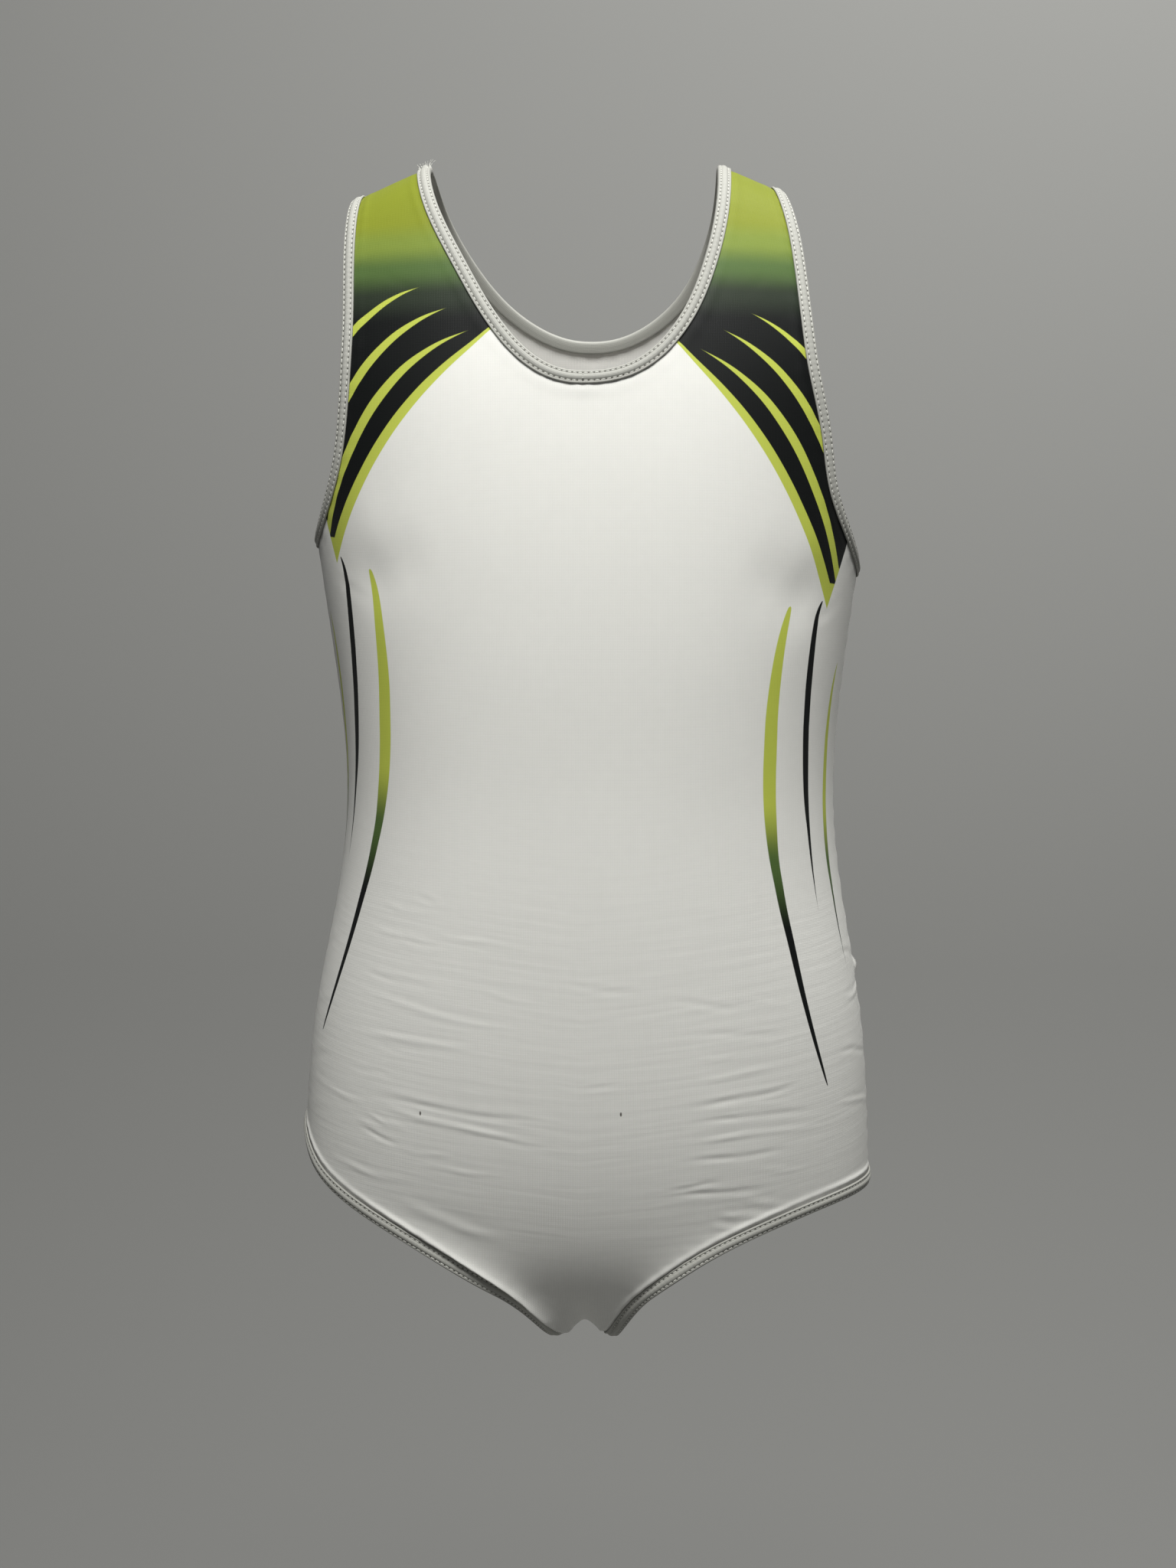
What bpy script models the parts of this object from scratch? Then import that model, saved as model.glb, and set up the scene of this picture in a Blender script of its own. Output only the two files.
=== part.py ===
"""A child's sleeveless leotard, filled out as it is when worn, with nobody in it.

Metres, +Z up. The front of the garment faces -Y and the wearer's left side is +X.
The origin is on the ridge of the shoulder straps, in the middle, where a wearer's
shoulders carry the garment.

A front panel and a back panel meet at the shoulder, side and crotch seams. Each
opening's edge is wrapped in a strip of the same knit, folded over the raw edge.

A place on the cloth is a pair: turn, the angle round the body (0 on the centre line,
90 degrees on a side seam, negative on the wearer's right), and run, the distance along
the middle profile from the crotch seam up the front, over the straps and down the back.
"""

import math

import bmesh
import bpy
import numpy as np

# Cloth and sewing, in metres
CLOTH_WALL = 0.0012
SEAM_GAP = 0.0003
BINDING_WALL = 0.0010
BINDING_GAP = 0.0003
BINDING_WIDTH = 0.0058

# The garment's sections from the strap ridge down to the crotch seam. Depths are from
# the plane of the side seams, and the lean is how far the centre line is off x = 0.
CROTCH = -0.520
RIDGE = 0.0045
SECTIONS = (
    # height, half width, front depth, back depth, lean
    (RIDGE, 0.1400, 0.0000, 0.0000, -0.0060),
    (-0.0005, 0.1400, 0.0230, 0.0210, -0.0056),
    (-0.0150, 0.1395, 0.0405, 0.0380, -0.0042),
    (-0.040, 0.1380, 0.0550, 0.0530, -0.0015),
    (-0.070, 0.1350, 0.0660, 0.0650, 0.0000),
    (-0.110, 0.1285, 0.0745, 0.0735, 0.0005),
    (-0.165, 0.1215, 0.0795, 0.0765, 0.0005),
    (-0.220, 0.1140, 0.0800, 0.0715, 0.0008),
    (-0.275, 0.1098, 0.0785, 0.0660, 0.0010),
    (-0.320, 0.1140, 0.0785, 0.0690, 0.0008),
    (-0.370, 0.1232, 0.0775, 0.0785, 0.0000),
    (-0.420, 0.1280, 0.0735, 0.0845, -0.0006),
    (-0.460, 0.1292, 0.0655, 0.0800, -0.0008),
    (-0.490, 0.1290, 0.0525, 0.0650, -0.0008),
    (-0.510, 0.1285, 0.0320, 0.0395, -0.0008),
    (CROTCH, 0.1280, 0.0000, 0.0000, -0.0008),
)
SQUARENESS = 2.3

# The straps fall towards the arms, and the gusset's edges hang below its middle.
STRAP_SLOPE = 0.47
SLOPE_FROM = 0.0635
SLOPE_ROUNDING = 0.010
SLOPE_TOP = -0.025
SLOPE_BOTTOM = -0.120
GUSSET_DROP = 0.0062
GUSSET_MIDDLE = 0.0062
GUSSET_DROP_TOP = -0.495

# The openings' finished edges, as distances from the centre line and heights, from the
# middle of the neck to the shoulder seam, from the side seam to the shoulder seam, and
# from the crotch seam to the side seam. OUT stands for a point on the side seam.
OUT = 1.0
STRAP_INNER = 0.0635
STRAP_OUTER = {"left": 0.0925, "right": 0.0986}
NECK_EDGE = {
    # half width, height
    ("left", "front"): (
        (0.0000, -0.0935),
        (0.0250, -0.0870),
        (0.0415, -0.0690),
        (0.0520, -0.0460),
        (0.0600, -0.0210),
        (STRAP_INNER, RIDGE),
    ),
    ("right", "front"): (
        (0.0000, -0.0935),
        (0.0200, -0.0870),
        (0.0362, -0.0690),
        (0.0488, -0.0460),
        (0.0590, -0.0210),
        (STRAP_INNER, RIDGE),
    ),
    ("left", "back"): (
        (0.0000, -0.0660),
        (0.0220, -0.0610),
        (0.0400, -0.0480),
        (0.0530, -0.0300),
        (0.0605, -0.0130),
        (STRAP_INNER, RIDGE),
    ),
    ("right", "back"): (
        (0.0000, -0.0660),
        (0.0220, -0.0610),
        (0.0400, -0.0480),
        (0.0530, -0.0300),
        (0.0605, -0.0130),
        (STRAP_INNER, RIDGE),
    ),
}
ARMHOLE_EDGE = {
    # distance out, height
    ("left", "front"): (
        (OUT, -0.1730),
        (0.1190, -0.1690),
        (0.1148, -0.1585),
        (0.1087, -0.1420),
        (0.1055, -0.1200),
        (0.1000, -0.0900),
        (0.0975, -0.0600),
        (0.0967, -0.0300),
        (STRAP_OUTER["left"], RIDGE),
    ),
    ("right", "front"): (
        (OUT, -0.1600),
        (0.1188, -0.1560),
        (0.1145, -0.1460),
        (0.1098, -0.1310),
        (0.1065, -0.1080),
        (0.1045, -0.0800),
        (0.1030, -0.0550),
        (0.1008, -0.0300),
        (STRAP_OUTER["right"], RIDGE),
    ),
    ("left", "back"): (
        (OUT, -0.1730),
        (0.1190, -0.1695),
        (0.1155, -0.1600),
        (0.1110, -0.1430),
        (0.1072, -0.1200),
        (0.1030, -0.0900),
        (0.0992, -0.0600),
        (0.0965, -0.0320),
        (STRAP_OUTER["left"], RIDGE),
    ),
    ("right", "back"): (
        (OUT, -0.1600),
        (0.1190, -0.1565),
        (0.1157, -0.1470),
        (0.1118, -0.1300),
        (0.1085, -0.1080),
        (0.1058, -0.0820),
        (0.1035, -0.0560),
        (0.1010, -0.0300),
        (STRAP_OUTER["right"], RIDGE),
    ),
}
GUSSET_HALF_WIDTH = 0.0145
LEG_EDGE = {
    # distance out, height
    ("left", "front"): (
        (GUSSET_HALF_WIDTH, CROTCH),
        (0.0245, -0.5050),
        (0.0408, -0.4885),
        (0.0578, -0.4770),
        (0.0800, -0.4665),
        (0.1060, -0.4580),
        (OUT, -0.4545),
    ),
    ("right", "front"): (
        (GUSSET_HALF_WIDTH, CROTCH),
        (0.0270, -0.5065),
        (0.0445, -0.4925),
        (0.0648, -0.4800),
        (0.0867, -0.4675),
        (0.1090, -0.4550),
        (0.1220, -0.4440),
        (OUT, -0.4300),
    ),
    ("left", "back"): (
        (GUSSET_HALF_WIDTH, CROTCH),
        (0.0290, -0.5120),
        (0.0500, -0.5020),
        (0.0760, -0.4900),
        (0.1020, -0.4740),
        (OUT, -0.4545),
    ),
    ("right", "back"): (
        (GUSSET_HALF_WIDTH, CROTCH),
        (0.0290, -0.5120),
        (0.0500, -0.5010),
        (0.0760, -0.4870),
        (0.1020, -0.4670),
        (OUT, -0.4300),
    ),
}

# Rows and columns of faces, and the heights on the centre line where rows of one kind
# end and the next begin.
GUSSET_ROWS = 8
TRUNK_ROWS = 15
CHEST_ROWS = 7
STRAP_ROWS = 7
MIDDLE_COLUMNS = 4
OUTER_COLUMNS = 6
GUSSET_TOP_ON_CENTRE = -0.474
CHEST_BASE_ON_CENTRE = -0.176

TURN, RUN = 0, 1
SIDES = {"left": 1, "right": -1}
NUDGE = 1e-4


def smooth_curve(knots, values, at):
    """Reads a natural cubic curve through values, one row for each knot."""
    knots, values = np.asarray(knots, float), np.asarray(values, float)
    at = np.asarray(at, float)
    gaps = np.diff(knots)
    matrix, right = np.eye(len(knots)), np.zeros_like(values)
    slopes = np.diff(values, axis=0) / gaps[:, None]
    for i in range(1, len(knots) - 1):
        matrix[i, i - 1 : i + 2] = gaps[i - 1], 2 * (gaps[i - 1] + gaps[i]), gaps[i]
        right[i] = 6 * (slopes[i] - slopes[i - 1])
    bend = np.linalg.solve(matrix, right)
    i = np.clip(np.searchsorted(knots, at) - 1, 0, len(knots) - 2)
    span = gaps[i][..., None]
    low = (knots[i + 1] - at)[..., None] / span
    high = 1 - low
    curved = (low**3 - low) * bend[i] + (high**3 - high) * bend[i + 1]
    return low * values[i] + high * values[i + 1] + curved * span**2 / 6


def lengths_along(points):
    steps = np.linalg.norm(np.diff(points, axis=0), axis=1)
    return np.concatenate(([0.0], np.cumsum(steps)))


def closed_profile():
    """The middle profile as knots and (y, z) points, with a few repeated past each end."""
    rows = SECTIONS[::-1]
    front = [(-row[2], row[0]) for row in rows]
    back = [(row[3], row[0]) for row in rows[::-1]][1:]
    loop = np.array(front + back)
    overlap = 4
    longer = np.vstack((loop[-1 - overlap : -1], loop, loop[1 : 1 + overlap]))
    knots = lengths_along(longer)
    knots -= knots[overlap]
    ridge = knots[overlap + len(front) - 1]
    total = knots[overlap + len(loop) - 1]
    return knots, longer, ridge, total


PROFILE_KNOTS, PROFILE_POINTS, RIDGE_RUN, TOTAL_RUN = closed_profile()
FINE_RUNS = np.linspace(0, TOTAL_RUN, 4001)
FINE_PROFILE = smooth_curve(PROFILE_KNOTS, PROFILE_POINTS, FINE_RUNS)
TOP = FINE_PROFILE[:, 1].max()


def half_width_and_lean(height):
    rows = np.array(SECTIONS[::-1])
    read = smooth_curve(rows[:, 0], rows[:, (1, 4)], np.clip(height, CROTCH, RIDGE))
    return read[..., 0], read[..., 1]


def ease(height, start, end):
    """Rises smoothly from 0 at the start to 1 at the end."""
    share = np.clip((height - start) / (end - start), 0, 1)
    return share**2 * (3 - 2 * share)


def drop(half_x, height):
    """How far the cloth is below its section's height, at the straps and the gusset."""
    out = half_x - SLOPE_FROM
    ramp = (out + np.sqrt(out**2 + SLOPE_ROUNDING**2)) / 2
    straps = STRAP_SLOPE * ramp * ease(height, SLOPE_BOTTOM, SLOPE_TOP)
    off_middle = 1 - np.exp(-((half_x / GUSSET_MIDDLE) ** 2))
    return straps + GUSSET_DROP * off_middle * ease(height, GUSSET_DROP_TOP, CROTCH)


def cloth(places):
    """Points in the middle of the cloth at places, an array of (turn, run)."""
    turn, run = places[..., TURN], np.mod(places[..., RUN], TOTAL_RUN)
    profile = smooth_curve(PROFILE_KNOTS, PROFILE_POINTS, run)
    depth, height = profile[..., 0], profile[..., 1]
    half_width, lean = half_width_and_lean(height)
    across, along = np.sin(turn), np.cos(turn)
    power = 2 / SQUARENESS
    x = half_width * np.sign(across) * np.abs(across) ** power
    y = depth * np.sign(along) * np.abs(along) ** power
    z = height - drop(np.abs(x), height)
    return np.stack((x + lean, y, z), axis=-1)


def outward(places):
    """Unit normals of the cloth at places."""
    step_turn = np.array((10 * NUDGE, 0.0))
    step_run = np.array((0.0, NUDGE))
    round_it = cloth(places + step_turn) - cloth(places - step_turn)
    along_it = cloth(places + step_run) - cloth(places - step_run)
    normal = np.cross(round_it, along_it)
    return normal / np.linalg.norm(normal, axis=-1, keepdims=True)


def place_on_cloth(half_x, height, panel):
    """The (turn, run) of a point given by its distance from the centre line and its height."""
    section = min(height, TOP)
    for _ in range(30):
        section = min(height + float(drop(half_x, section)), TOP)
    front = FINE_RUNS <= RIDGE_RUN
    if panel == "front":
        run = np.interp(section, FINE_PROFILE[front, 1], FINE_RUNS[front])
    else:
        run = np.interp(section, FINE_PROFILE[~front, 1][::-1], FINE_RUNS[~front][::-1])
    if height >= RIDGE:
        run = RIDGE_RUN
    if height <= CROTCH:
        run = 0.0 if panel == "front" else TOTAL_RUN
    half_width = float(half_width_and_lean(section)[0])
    turn = math.asin(min(half_x / half_width, 1.0) ** (SQUARENESS / 2))
    return turn, run


def evenly(places, count):
    """Places at equal distances along a line that is given by many places."""
    distance = lengths_along(cloth(places))
    stops = np.linspace(0, distance[-1], count + 1)
    return np.stack([np.interp(stops, distance, places[:, k]) for k in (TURN, RUN)], axis=-1)


def edge_line(rows, panel, side, mirrored):
    """Many places along an opening's edge. At each end it crosses a seam or the centre
    line squarely, so the line is mirrored there in turn or in run."""
    places = [place_on_cloth(x, z, panel) for x, z in rows]
    places = np.array(places)
    ghosts = 3
    first, last = places[1 : 1 + ghosts][::-1].copy(), places[-1 - ghosts : -1][::-1].copy()
    first[:, mirrored[0]] = 2 * places[0, mirrored[0]] - first[:, mirrored[0]]
    last[:, mirrored[1]] = 2 * places[-1, mirrored[1]] - last[:, mirrored[1]]
    longer = np.vstack((first, places, last))
    knots = lengths_along(cloth(longer))
    start, end = knots[ghosts], knots[ghosts + len(places) - 1]
    line = smooth_curve(knots, longer, np.linspace(start, end, 301))
    line[0], line[-1] = places[0], places[-1]
    line[:, TURN] *= side
    return line


def inset(line, distance, mirrored, inward):
    """The line moved into the cloth. inward is 1 where the cloth is on the left of the
    line as it is seen from outside, and -1 where it is on the right."""
    points, normals = cloth(line), outward(line)
    tangent = np.gradient(points, axis=0)
    move = inward * distance * np.cross(normals, tangent)
    move /= np.linalg.norm(tangent, axis=1, keepdims=True)
    steps = np.array(((0.01, 0.0), (0.0, 0.001)))
    moved = line.copy()
    for i, place in enumerate(line):
        slopes = np.stack(
            [(cloth(place + s) - cloth(place - s)) / (2 * s.max()) for s in steps], axis=1
        )
        moved[i] += np.linalg.lstsq(slopes, move[i], rcond=None)[0]
    moved[0, mirrored[0]] = line[0, mirrored[0]]
    moved[-1, mirrored[1]] = line[-1, mirrored[1]]
    return moved


def opening(rows, panel, side, mirrored, count, inward):
    """Places along the raw edge of the cloth and along the inner line of its binding."""
    line = edge_line(rows, panel, side, mirrored)
    handed = inward * side * (1 if panel == "front" else -1)
    finished = evenly(line, count)
    fold = BINDING_WALL + BINDING_GAP
    raw = inset(finished, fold, mirrored, handed)
    inner = inset(finished, BINDING_WIDTH, mirrored, handed)
    return raw, inner


def openings(panel):
    """The neck, armhole and leg edges of one panel, by the side of the wearer."""
    found = {}
    for name, side in SIDES.items():
        for kind, edge, mirrored, count, inward in (
            ("neck", NECK_EDGE, (TURN, RUN), MIDDLE_COLUMNS + STRAP_ROWS, -1),
            ("armhole", ARMHOLE_EDGE, (TURN, RUN), CHEST_ROWS + STRAP_ROWS, 1),
            ("leg", LEG_EDGE, (RUN, TURN), GUSSET_ROWS + OUTER_COLUMNS, 1),
        ):
            found[kind, name] = opening(
                edge[name, panel], panel, side, mirrored, count, inward
            )
    return found


def straight(start, end, count):
    share = np.linspace(0, 1, 61)[:, None]
    return evenly((1 - share) * start + share * end, count)


def patch(bottom, top, inner, outer):
    """A grid of places inside four lines of places, each row blended between them."""
    across = np.linspace(0, 1, len(bottom))[None, :, None]
    up = np.linspace(0, 1, len(inner))[:, None, None]
    rows = (1 - up) * bottom[None] + up * top[None]
    columns = (1 - across) * inner[:, None] + across * outer[:, None]
    low = (1 - across) * bottom[0] + across * bottom[-1]
    high = (1 - across) * top[0] + across * top[-1]
    return rows + columns - (1 - up) * low - up * high


def half_panel(panel, name, edges):
    """The grids of places that cover one half of a panel, from the crotch to the strap."""
    neck_raw, neck = edges["neck", name]
    arm_raw, arm = edges["armhole", name]
    leg_raw, leg = edges["leg", name]
    columns = MIDDLE_COLUMNS + OUTER_COLUMNS
    gusset_top = np.array(place_on_cloth(0.0, GUSSET_TOP_ON_CENTRE, panel))
    chest_base = np.array(place_on_cloth(0.0, CHEST_BASE_ON_CENTRE, panel))
    crotch = np.array((0.0, leg[0, RUN]))
    crotch_row = straight(crotch, leg[0], MIDDLE_COLUMNS)
    gusset_row = straight(gusset_top, leg[GUSSET_ROWS], MIDDLE_COLUMNS)
    trunk_bottom = np.vstack((gusset_row, leg[GUSSET_ROWS + 1 :]))
    chest_row = straight(chest_base, arm[0], columns)
    corner = neck[MIDDLE_COLUMNS]
    strap_row = straight(corner, arm[CHEST_ROWS], OUTER_COLUMNS)
    shoulder_row = straight(neck[-1], arm[-1], OUTER_COLUMNS)
    chest_top = np.vstack((neck[: MIDDLE_COLUMNS + 1], strap_row[1:]))
    return (
        patch(
            crotch_row,
            gusset_row,
            straight(crotch, gusset_top, GUSSET_ROWS),
            leg[: GUSSET_ROWS + 1],
        ),
        patch(
            trunk_bottom,
            chest_row,
            straight(gusset_top, chest_base, TRUNK_ROWS),
            straight(leg[-1], arm[0], TRUNK_ROWS),
        ),
        patch(
            chest_row,
            chest_top,
            straight(chest_base, neck[0], CHEST_ROWS),
            arm[: CHEST_ROWS + 1],
        ),
        patch(strap_row, shoulder_row, neck[MIDDLE_COLUMNS:], arm[CHEST_ROWS:]),
        np.stack((neck_raw, neck)),
        np.stack((arm_raw, arm)),
        np.stack((leg_raw, leg)),
    )


def add_grid(mesh, points, normals=None, layer=None):
    """Adds a grid of quads whose corners are the points, an array of rows of columns."""
    rows, columns = points.shape[:2]
    corners = bmesh.ops.create_grid(
        mesh, x_segments=columns - 1, y_segments=rows - 1, size=1
    )["verts"]
    for i, corner in enumerate(corners):
        row, column = divmod(i, columns)
        corner.co = points[row, column]
        if layer is not None:
            corner[layer] = normals[row, column]


def finish_object(name, mesh, material):
    bmesh.ops.recalc_face_normals(mesh, faces=mesh.faces)
    data = bpy.data.meshes.new(name)
    mesh.to_mesh(data)
    mesh.free()
    data.shade_smooth()
    data.set_sharp_from_angle(angle=math.radians(50))
    data.materials.append(material)
    made = bpy.data.objects.new(name, data)
    bpy.context.scene.collection.objects.link(made)
    return made


def make_panel(name, panel, edges, material):
    """One cut piece of cloth: a grid on the middle of the cloth, thickened both ways."""
    mesh = bmesh.new()
    layer = mesh.verts.layers.float_vector.new("outward")
    for side in SIDES:
        for places in half_panel(panel, side, edges):
            add_grid(mesh, cloth(places), outward(places), layer)
    bmesh.ops.remove_doubles(mesh, verts=mesh.verts, dist=1e-5)
    sheet = mesh.faces[:]
    inside = mesh.verts[:]
    copied = bmesh.ops.extrude_face_region(mesh, geom=sheet, use_keep_orig=True)["geom"]
    outside = [item for item in copied if isinstance(item, bmesh.types.BMVert)]
    for corners, way in ((inside, -1), (outside, 1)):
        for corner in corners:
            corner.co += corner[layer] * (way * CLOTH_WALL / 2)
            if panel == "front":
                corner.co.y = min(corner.co.y, -SEAM_GAP / 2)
            else:
                corner.co.y = max(corner.co.y, SEAM_GAP / 2)
    return finish_object(name, mesh, material)


def binding_section():
    """The folded strip's section, as (at the inner line, out past the raw edge, off the
    middle of the cloth). It runs once round, over the outside, the fold and the inside."""
    near = CLOTH_WALL / 2 + BINDING_GAP
    far = near + BINDING_WALL
    fold = BINDING_GAP + BINDING_WALL
    return (
        (True, 0.0, near),
        (True, 0.0, far - 0.0002),
        (False, 0.0, far),
        (False, 0.72 * fold, 0.62 * far),
        (False, fold, 0.0),
        (False, 0.72 * fold, -0.62 * far),
        (False, 0.0, -far),
        (True, 0.0, -far + 0.0002),
        (True, 0.0, -near),
        (False, BINDING_GAP, -near),
        (False, BINDING_GAP, near),
    )


def make_binding(name, stations, material):
    """One strip folded over an edge, closed into a ring. stations holds the places of
    the raw edge and of the inner line, all the way round."""
    raw, inner = stations
    raw_points, inner_points = cloth(raw), cloth(inner)
    raw_normals, inner_normals = outward(raw), outward(inner)
    out = raw_points - inner_points
    out -= raw_normals * np.sum(out * raw_normals, axis=1, keepdims=True)
    out /= np.linalg.norm(out, axis=1, keepdims=True)
    lines = []
    for on_inner, past, off in binding_section():
        base, normal = (
            (inner_points, inner_normals) if on_inner else (raw_points, raw_normals)
        )
        lines.append(base + past * out + off * normal)
    lines.append(lines[0])
    points = np.stack(lines, axis=1)
    mesh = bmesh.new()
    add_grid(mesh, points)
    bmesh.ops.remove_doubles(mesh, verts=mesh.verts, dist=1e-5)
    return finish_object(name, mesh, material)


def ring(*parts):
    """Joins the edge stations of several stretches into one ring. Each part is a pair
    (edges, way), with way -1 where the stretch is gone along backwards."""
    raw, inner = [], []
    for (edge, inside), way in parts:
        raw.append(edge[::way][:-1])
        inner.append(inside[::way][:-1])
    raw.append(raw[0][:1])
    inner.append(inner[0][:1])
    return np.vstack(raw), np.vstack(inner)


def cloth_material(name, colour, roughness):
    material = bpy.data.materials.new(name)
    material.use_nodes = True
    shader = material.node_tree.nodes["Principled BSDF"]
    shader.inputs["Base Color"].default_value = (*colour, 1.0)
    shader.inputs["Roughness"].default_value = roughness
    shader.inputs["Metallic"].default_value = 0.0
    return material


def main():
    for old in list(bpy.data.objects):
        bpy.data.objects.remove(old, do_unlink=True)
    front, back = openings("front"), openings("back")
    white = cloth_material("white_stretch_knit", (0.78, 0.76, 0.73), 0.62)
    plain = cloth_material("white_stretch_knit_back", (0.76, 0.75, 0.72), 0.62)
    make_panel("front_panel", "front", front, white)
    make_panel("back_panel", "back", back, plain)
    neck = ring(
        (front["neck", "left"], 1),
        (back["neck", "left"], -1),
        (back["neck", "right"], 1),
        (front["neck", "right"], -1),
    )
    trim = cloth_material("neck_binding_knit", (0.68, 0.68, 0.61), 0.6)
    make_binding("neck_binding", neck, trim)
    for side in SIDES:
        for kind in ("armhole", "leg"):
            stations = ring((front[kind, side], 1), (back[kind, side], -1))
            trim = cloth_material(f"{kind}_binding_{side}_knit", (0.68, 0.68, 0.61), 0.6)
            make_binding(f"{kind}_binding_{side}", stations, trim)


main()
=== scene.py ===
"""A child's sleeveless leotard of white stretch knit, filled out as it is when worn.

Metres, +Z up. The front faces -Y and +X is the wearer's left. The script follows the
garment as it is put together: the two cut panels, the bindings folded over the edges of
the openings, their coverstitch, the seams that join the panels, and last the studio.
"""

import math

import bmesh
import bpy
import numpy as np
from mathutils import Matrix, Vector
from mathutils.kdtree import KDTree


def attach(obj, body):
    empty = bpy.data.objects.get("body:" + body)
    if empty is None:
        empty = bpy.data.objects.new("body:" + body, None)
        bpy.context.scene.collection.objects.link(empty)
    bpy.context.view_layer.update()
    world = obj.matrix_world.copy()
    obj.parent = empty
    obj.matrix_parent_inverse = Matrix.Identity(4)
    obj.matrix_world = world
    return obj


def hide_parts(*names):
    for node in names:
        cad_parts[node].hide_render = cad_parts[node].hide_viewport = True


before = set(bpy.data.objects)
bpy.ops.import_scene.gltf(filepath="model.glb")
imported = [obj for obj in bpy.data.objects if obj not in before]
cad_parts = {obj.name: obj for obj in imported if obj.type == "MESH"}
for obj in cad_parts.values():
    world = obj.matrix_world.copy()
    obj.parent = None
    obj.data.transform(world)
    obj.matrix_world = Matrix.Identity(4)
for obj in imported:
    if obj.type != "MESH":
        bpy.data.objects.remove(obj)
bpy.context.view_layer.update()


# The cut. One smooth surface runs from the crotch seam up the front, over the shoulder
# straps and down the back, and both panels and every binding are laid on it. A place on
# it is a pair: turn, the angle round the body (0 on the centre line, 90 degrees on the
# wearer's left side seam), and run, the distance along the middle profile.

CROTCH = -0.520
RIDGE = 0.0045
SECTIONS = (
    # height, half width, front depth, back depth, lean
    (RIDGE, 0.1400, 0.0000, 0.0000, -0.0060),
    (-0.0005, 0.1400, 0.0230, 0.0210, -0.0056),
    (-0.0150, 0.1395, 0.0405, 0.0380, -0.0042),
    (-0.040, 0.1380, 0.0550, 0.0530, -0.0015),
    (-0.070, 0.1350, 0.0660, 0.0650, 0.0000),
    (-0.110, 0.1285, 0.0745, 0.0735, 0.0005),
    (-0.165, 0.1215, 0.0795, 0.0765, 0.0005),
    (-0.220, 0.1140, 0.0800, 0.0715, 0.0008),
    (-0.275, 0.1098, 0.0785, 0.0660, 0.0010),
    (-0.320, 0.1140, 0.0785, 0.0690, 0.0008),
    (-0.370, 0.1232, 0.0775, 0.0785, 0.0000),
    (-0.420, 0.1280, 0.0735, 0.0845, -0.0006),
    (-0.460, 0.1292, 0.0655, 0.0800, -0.0008),
    (-0.490, 0.1290, 0.0525, 0.0650, -0.0008),
    (-0.510, 0.1285, 0.0320, 0.0395, -0.0008),
    (CROTCH, 0.1280, 0.0000, 0.0000, -0.0008),
)
SQUARENESS = 2.3
STRAP_SLOPE = 0.47
SLOPE_FROM = 0.0635
SLOPE_ROUNDING = 0.010
SLOPE_TOP = -0.025
SLOPE_BOTTOM = -0.120
GUSSET_DROP = 0.0062
GUSSET_MIDDLE = 0.0062
GUSSET_DROP_TOP = -0.495
TURN, RUN = 0, 1
SIDES = {"left": 1, "right": -1}
NUDGE = 1e-4
PROFILE_STEPS = 4000
SETTLING_ROUNDS = 30


def smooth_curve(knots, values, at):
    """Reads a natural cubic curve through values, one row for each knot."""
    knots, values = np.asarray(knots, float), np.asarray(values, float)
    at = np.asarray(at, float)
    gaps = np.diff(knots)
    matrix, right = np.eye(len(knots)), np.zeros_like(values)
    slopes = np.diff(values, axis=0) / gaps[:, None]
    for i in range(1, len(knots) - 1):
        matrix[i, i - 1 : i + 2] = gaps[i - 1], 2 * (gaps[i - 1] + gaps[i]), gaps[i]
        right[i] = 6 * (slopes[i] - slopes[i - 1])
    bend = np.linalg.solve(matrix, right)
    i = np.clip(np.searchsorted(knots, at) - 1, 0, len(knots) - 2)
    span = gaps[i][..., None]
    low = (knots[i + 1] - at)[..., None] / span
    high = 1 - low
    curved = (low**3 - low) * bend[i] + (high**3 - high) * bend[i + 1]
    return low * values[i] + high * values[i + 1] + curved * span**2 / 6


def lengths_along(points):
    steps = np.linalg.norm(np.diff(points, axis=0), axis=1)
    return np.concatenate(([0.0], np.cumsum(steps)))


def closed_profile():
    """The middle profile as knots and (y, z) points, with a few repeated past each end."""
    rows = SECTIONS[::-1]
    front = [(-row[2], row[0]) for row in rows]
    back = [(row[3], row[0]) for row in rows[::-1]][1:]
    loop = np.array(front + back)
    overlap = 4
    longer = np.vstack((loop[-1 - overlap : -1], loop, loop[1 : 1 + overlap]))
    knots = lengths_along(longer)
    knots -= knots[overlap]
    ridge = knots[overlap + len(front) - 1]
    total = knots[overlap + len(loop) - 1]
    return knots, longer, ridge, total


PROFILE_KNOTS, PROFILE_POINTS, RIDGE_RUN, TOTAL_RUN = closed_profile()
FINE_RUNS = np.linspace(0, TOTAL_RUN, PROFILE_STEPS + 1)
FINE_PROFILE = smooth_curve(PROFILE_KNOTS, PROFILE_POINTS, FINE_RUNS)
TOP = FINE_PROFILE[:, 1].max()


def half_width_and_lean(height):
    rows = np.array(SECTIONS[::-1])
    read = smooth_curve(rows[:, 0], rows[:, (1, 4)], np.clip(height, CROTCH, RIDGE))
    return read[..., 0], read[..., 1]


def ease(value, start, end):
    """Rises smoothly from 0 at the start to 1 at the end."""
    share = np.clip((value - start) / (end - start), 0, 1)
    return share**2 * (3 - 2 * share)


def drop(half_x, height):
    """How far the cloth is below its section's height, at the straps and the gusset."""
    out = half_x - SLOPE_FROM
    ramp = (out + np.sqrt(out**2 + SLOPE_ROUNDING**2)) / 2
    straps = STRAP_SLOPE * ramp * ease(height, SLOPE_BOTTOM, SLOPE_TOP)
    off_middle = 1 - np.exp(-((half_x / GUSSET_MIDDLE) ** 2))
    return straps + GUSSET_DROP * off_middle * ease(height, GUSSET_DROP_TOP, CROTCH)


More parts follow.
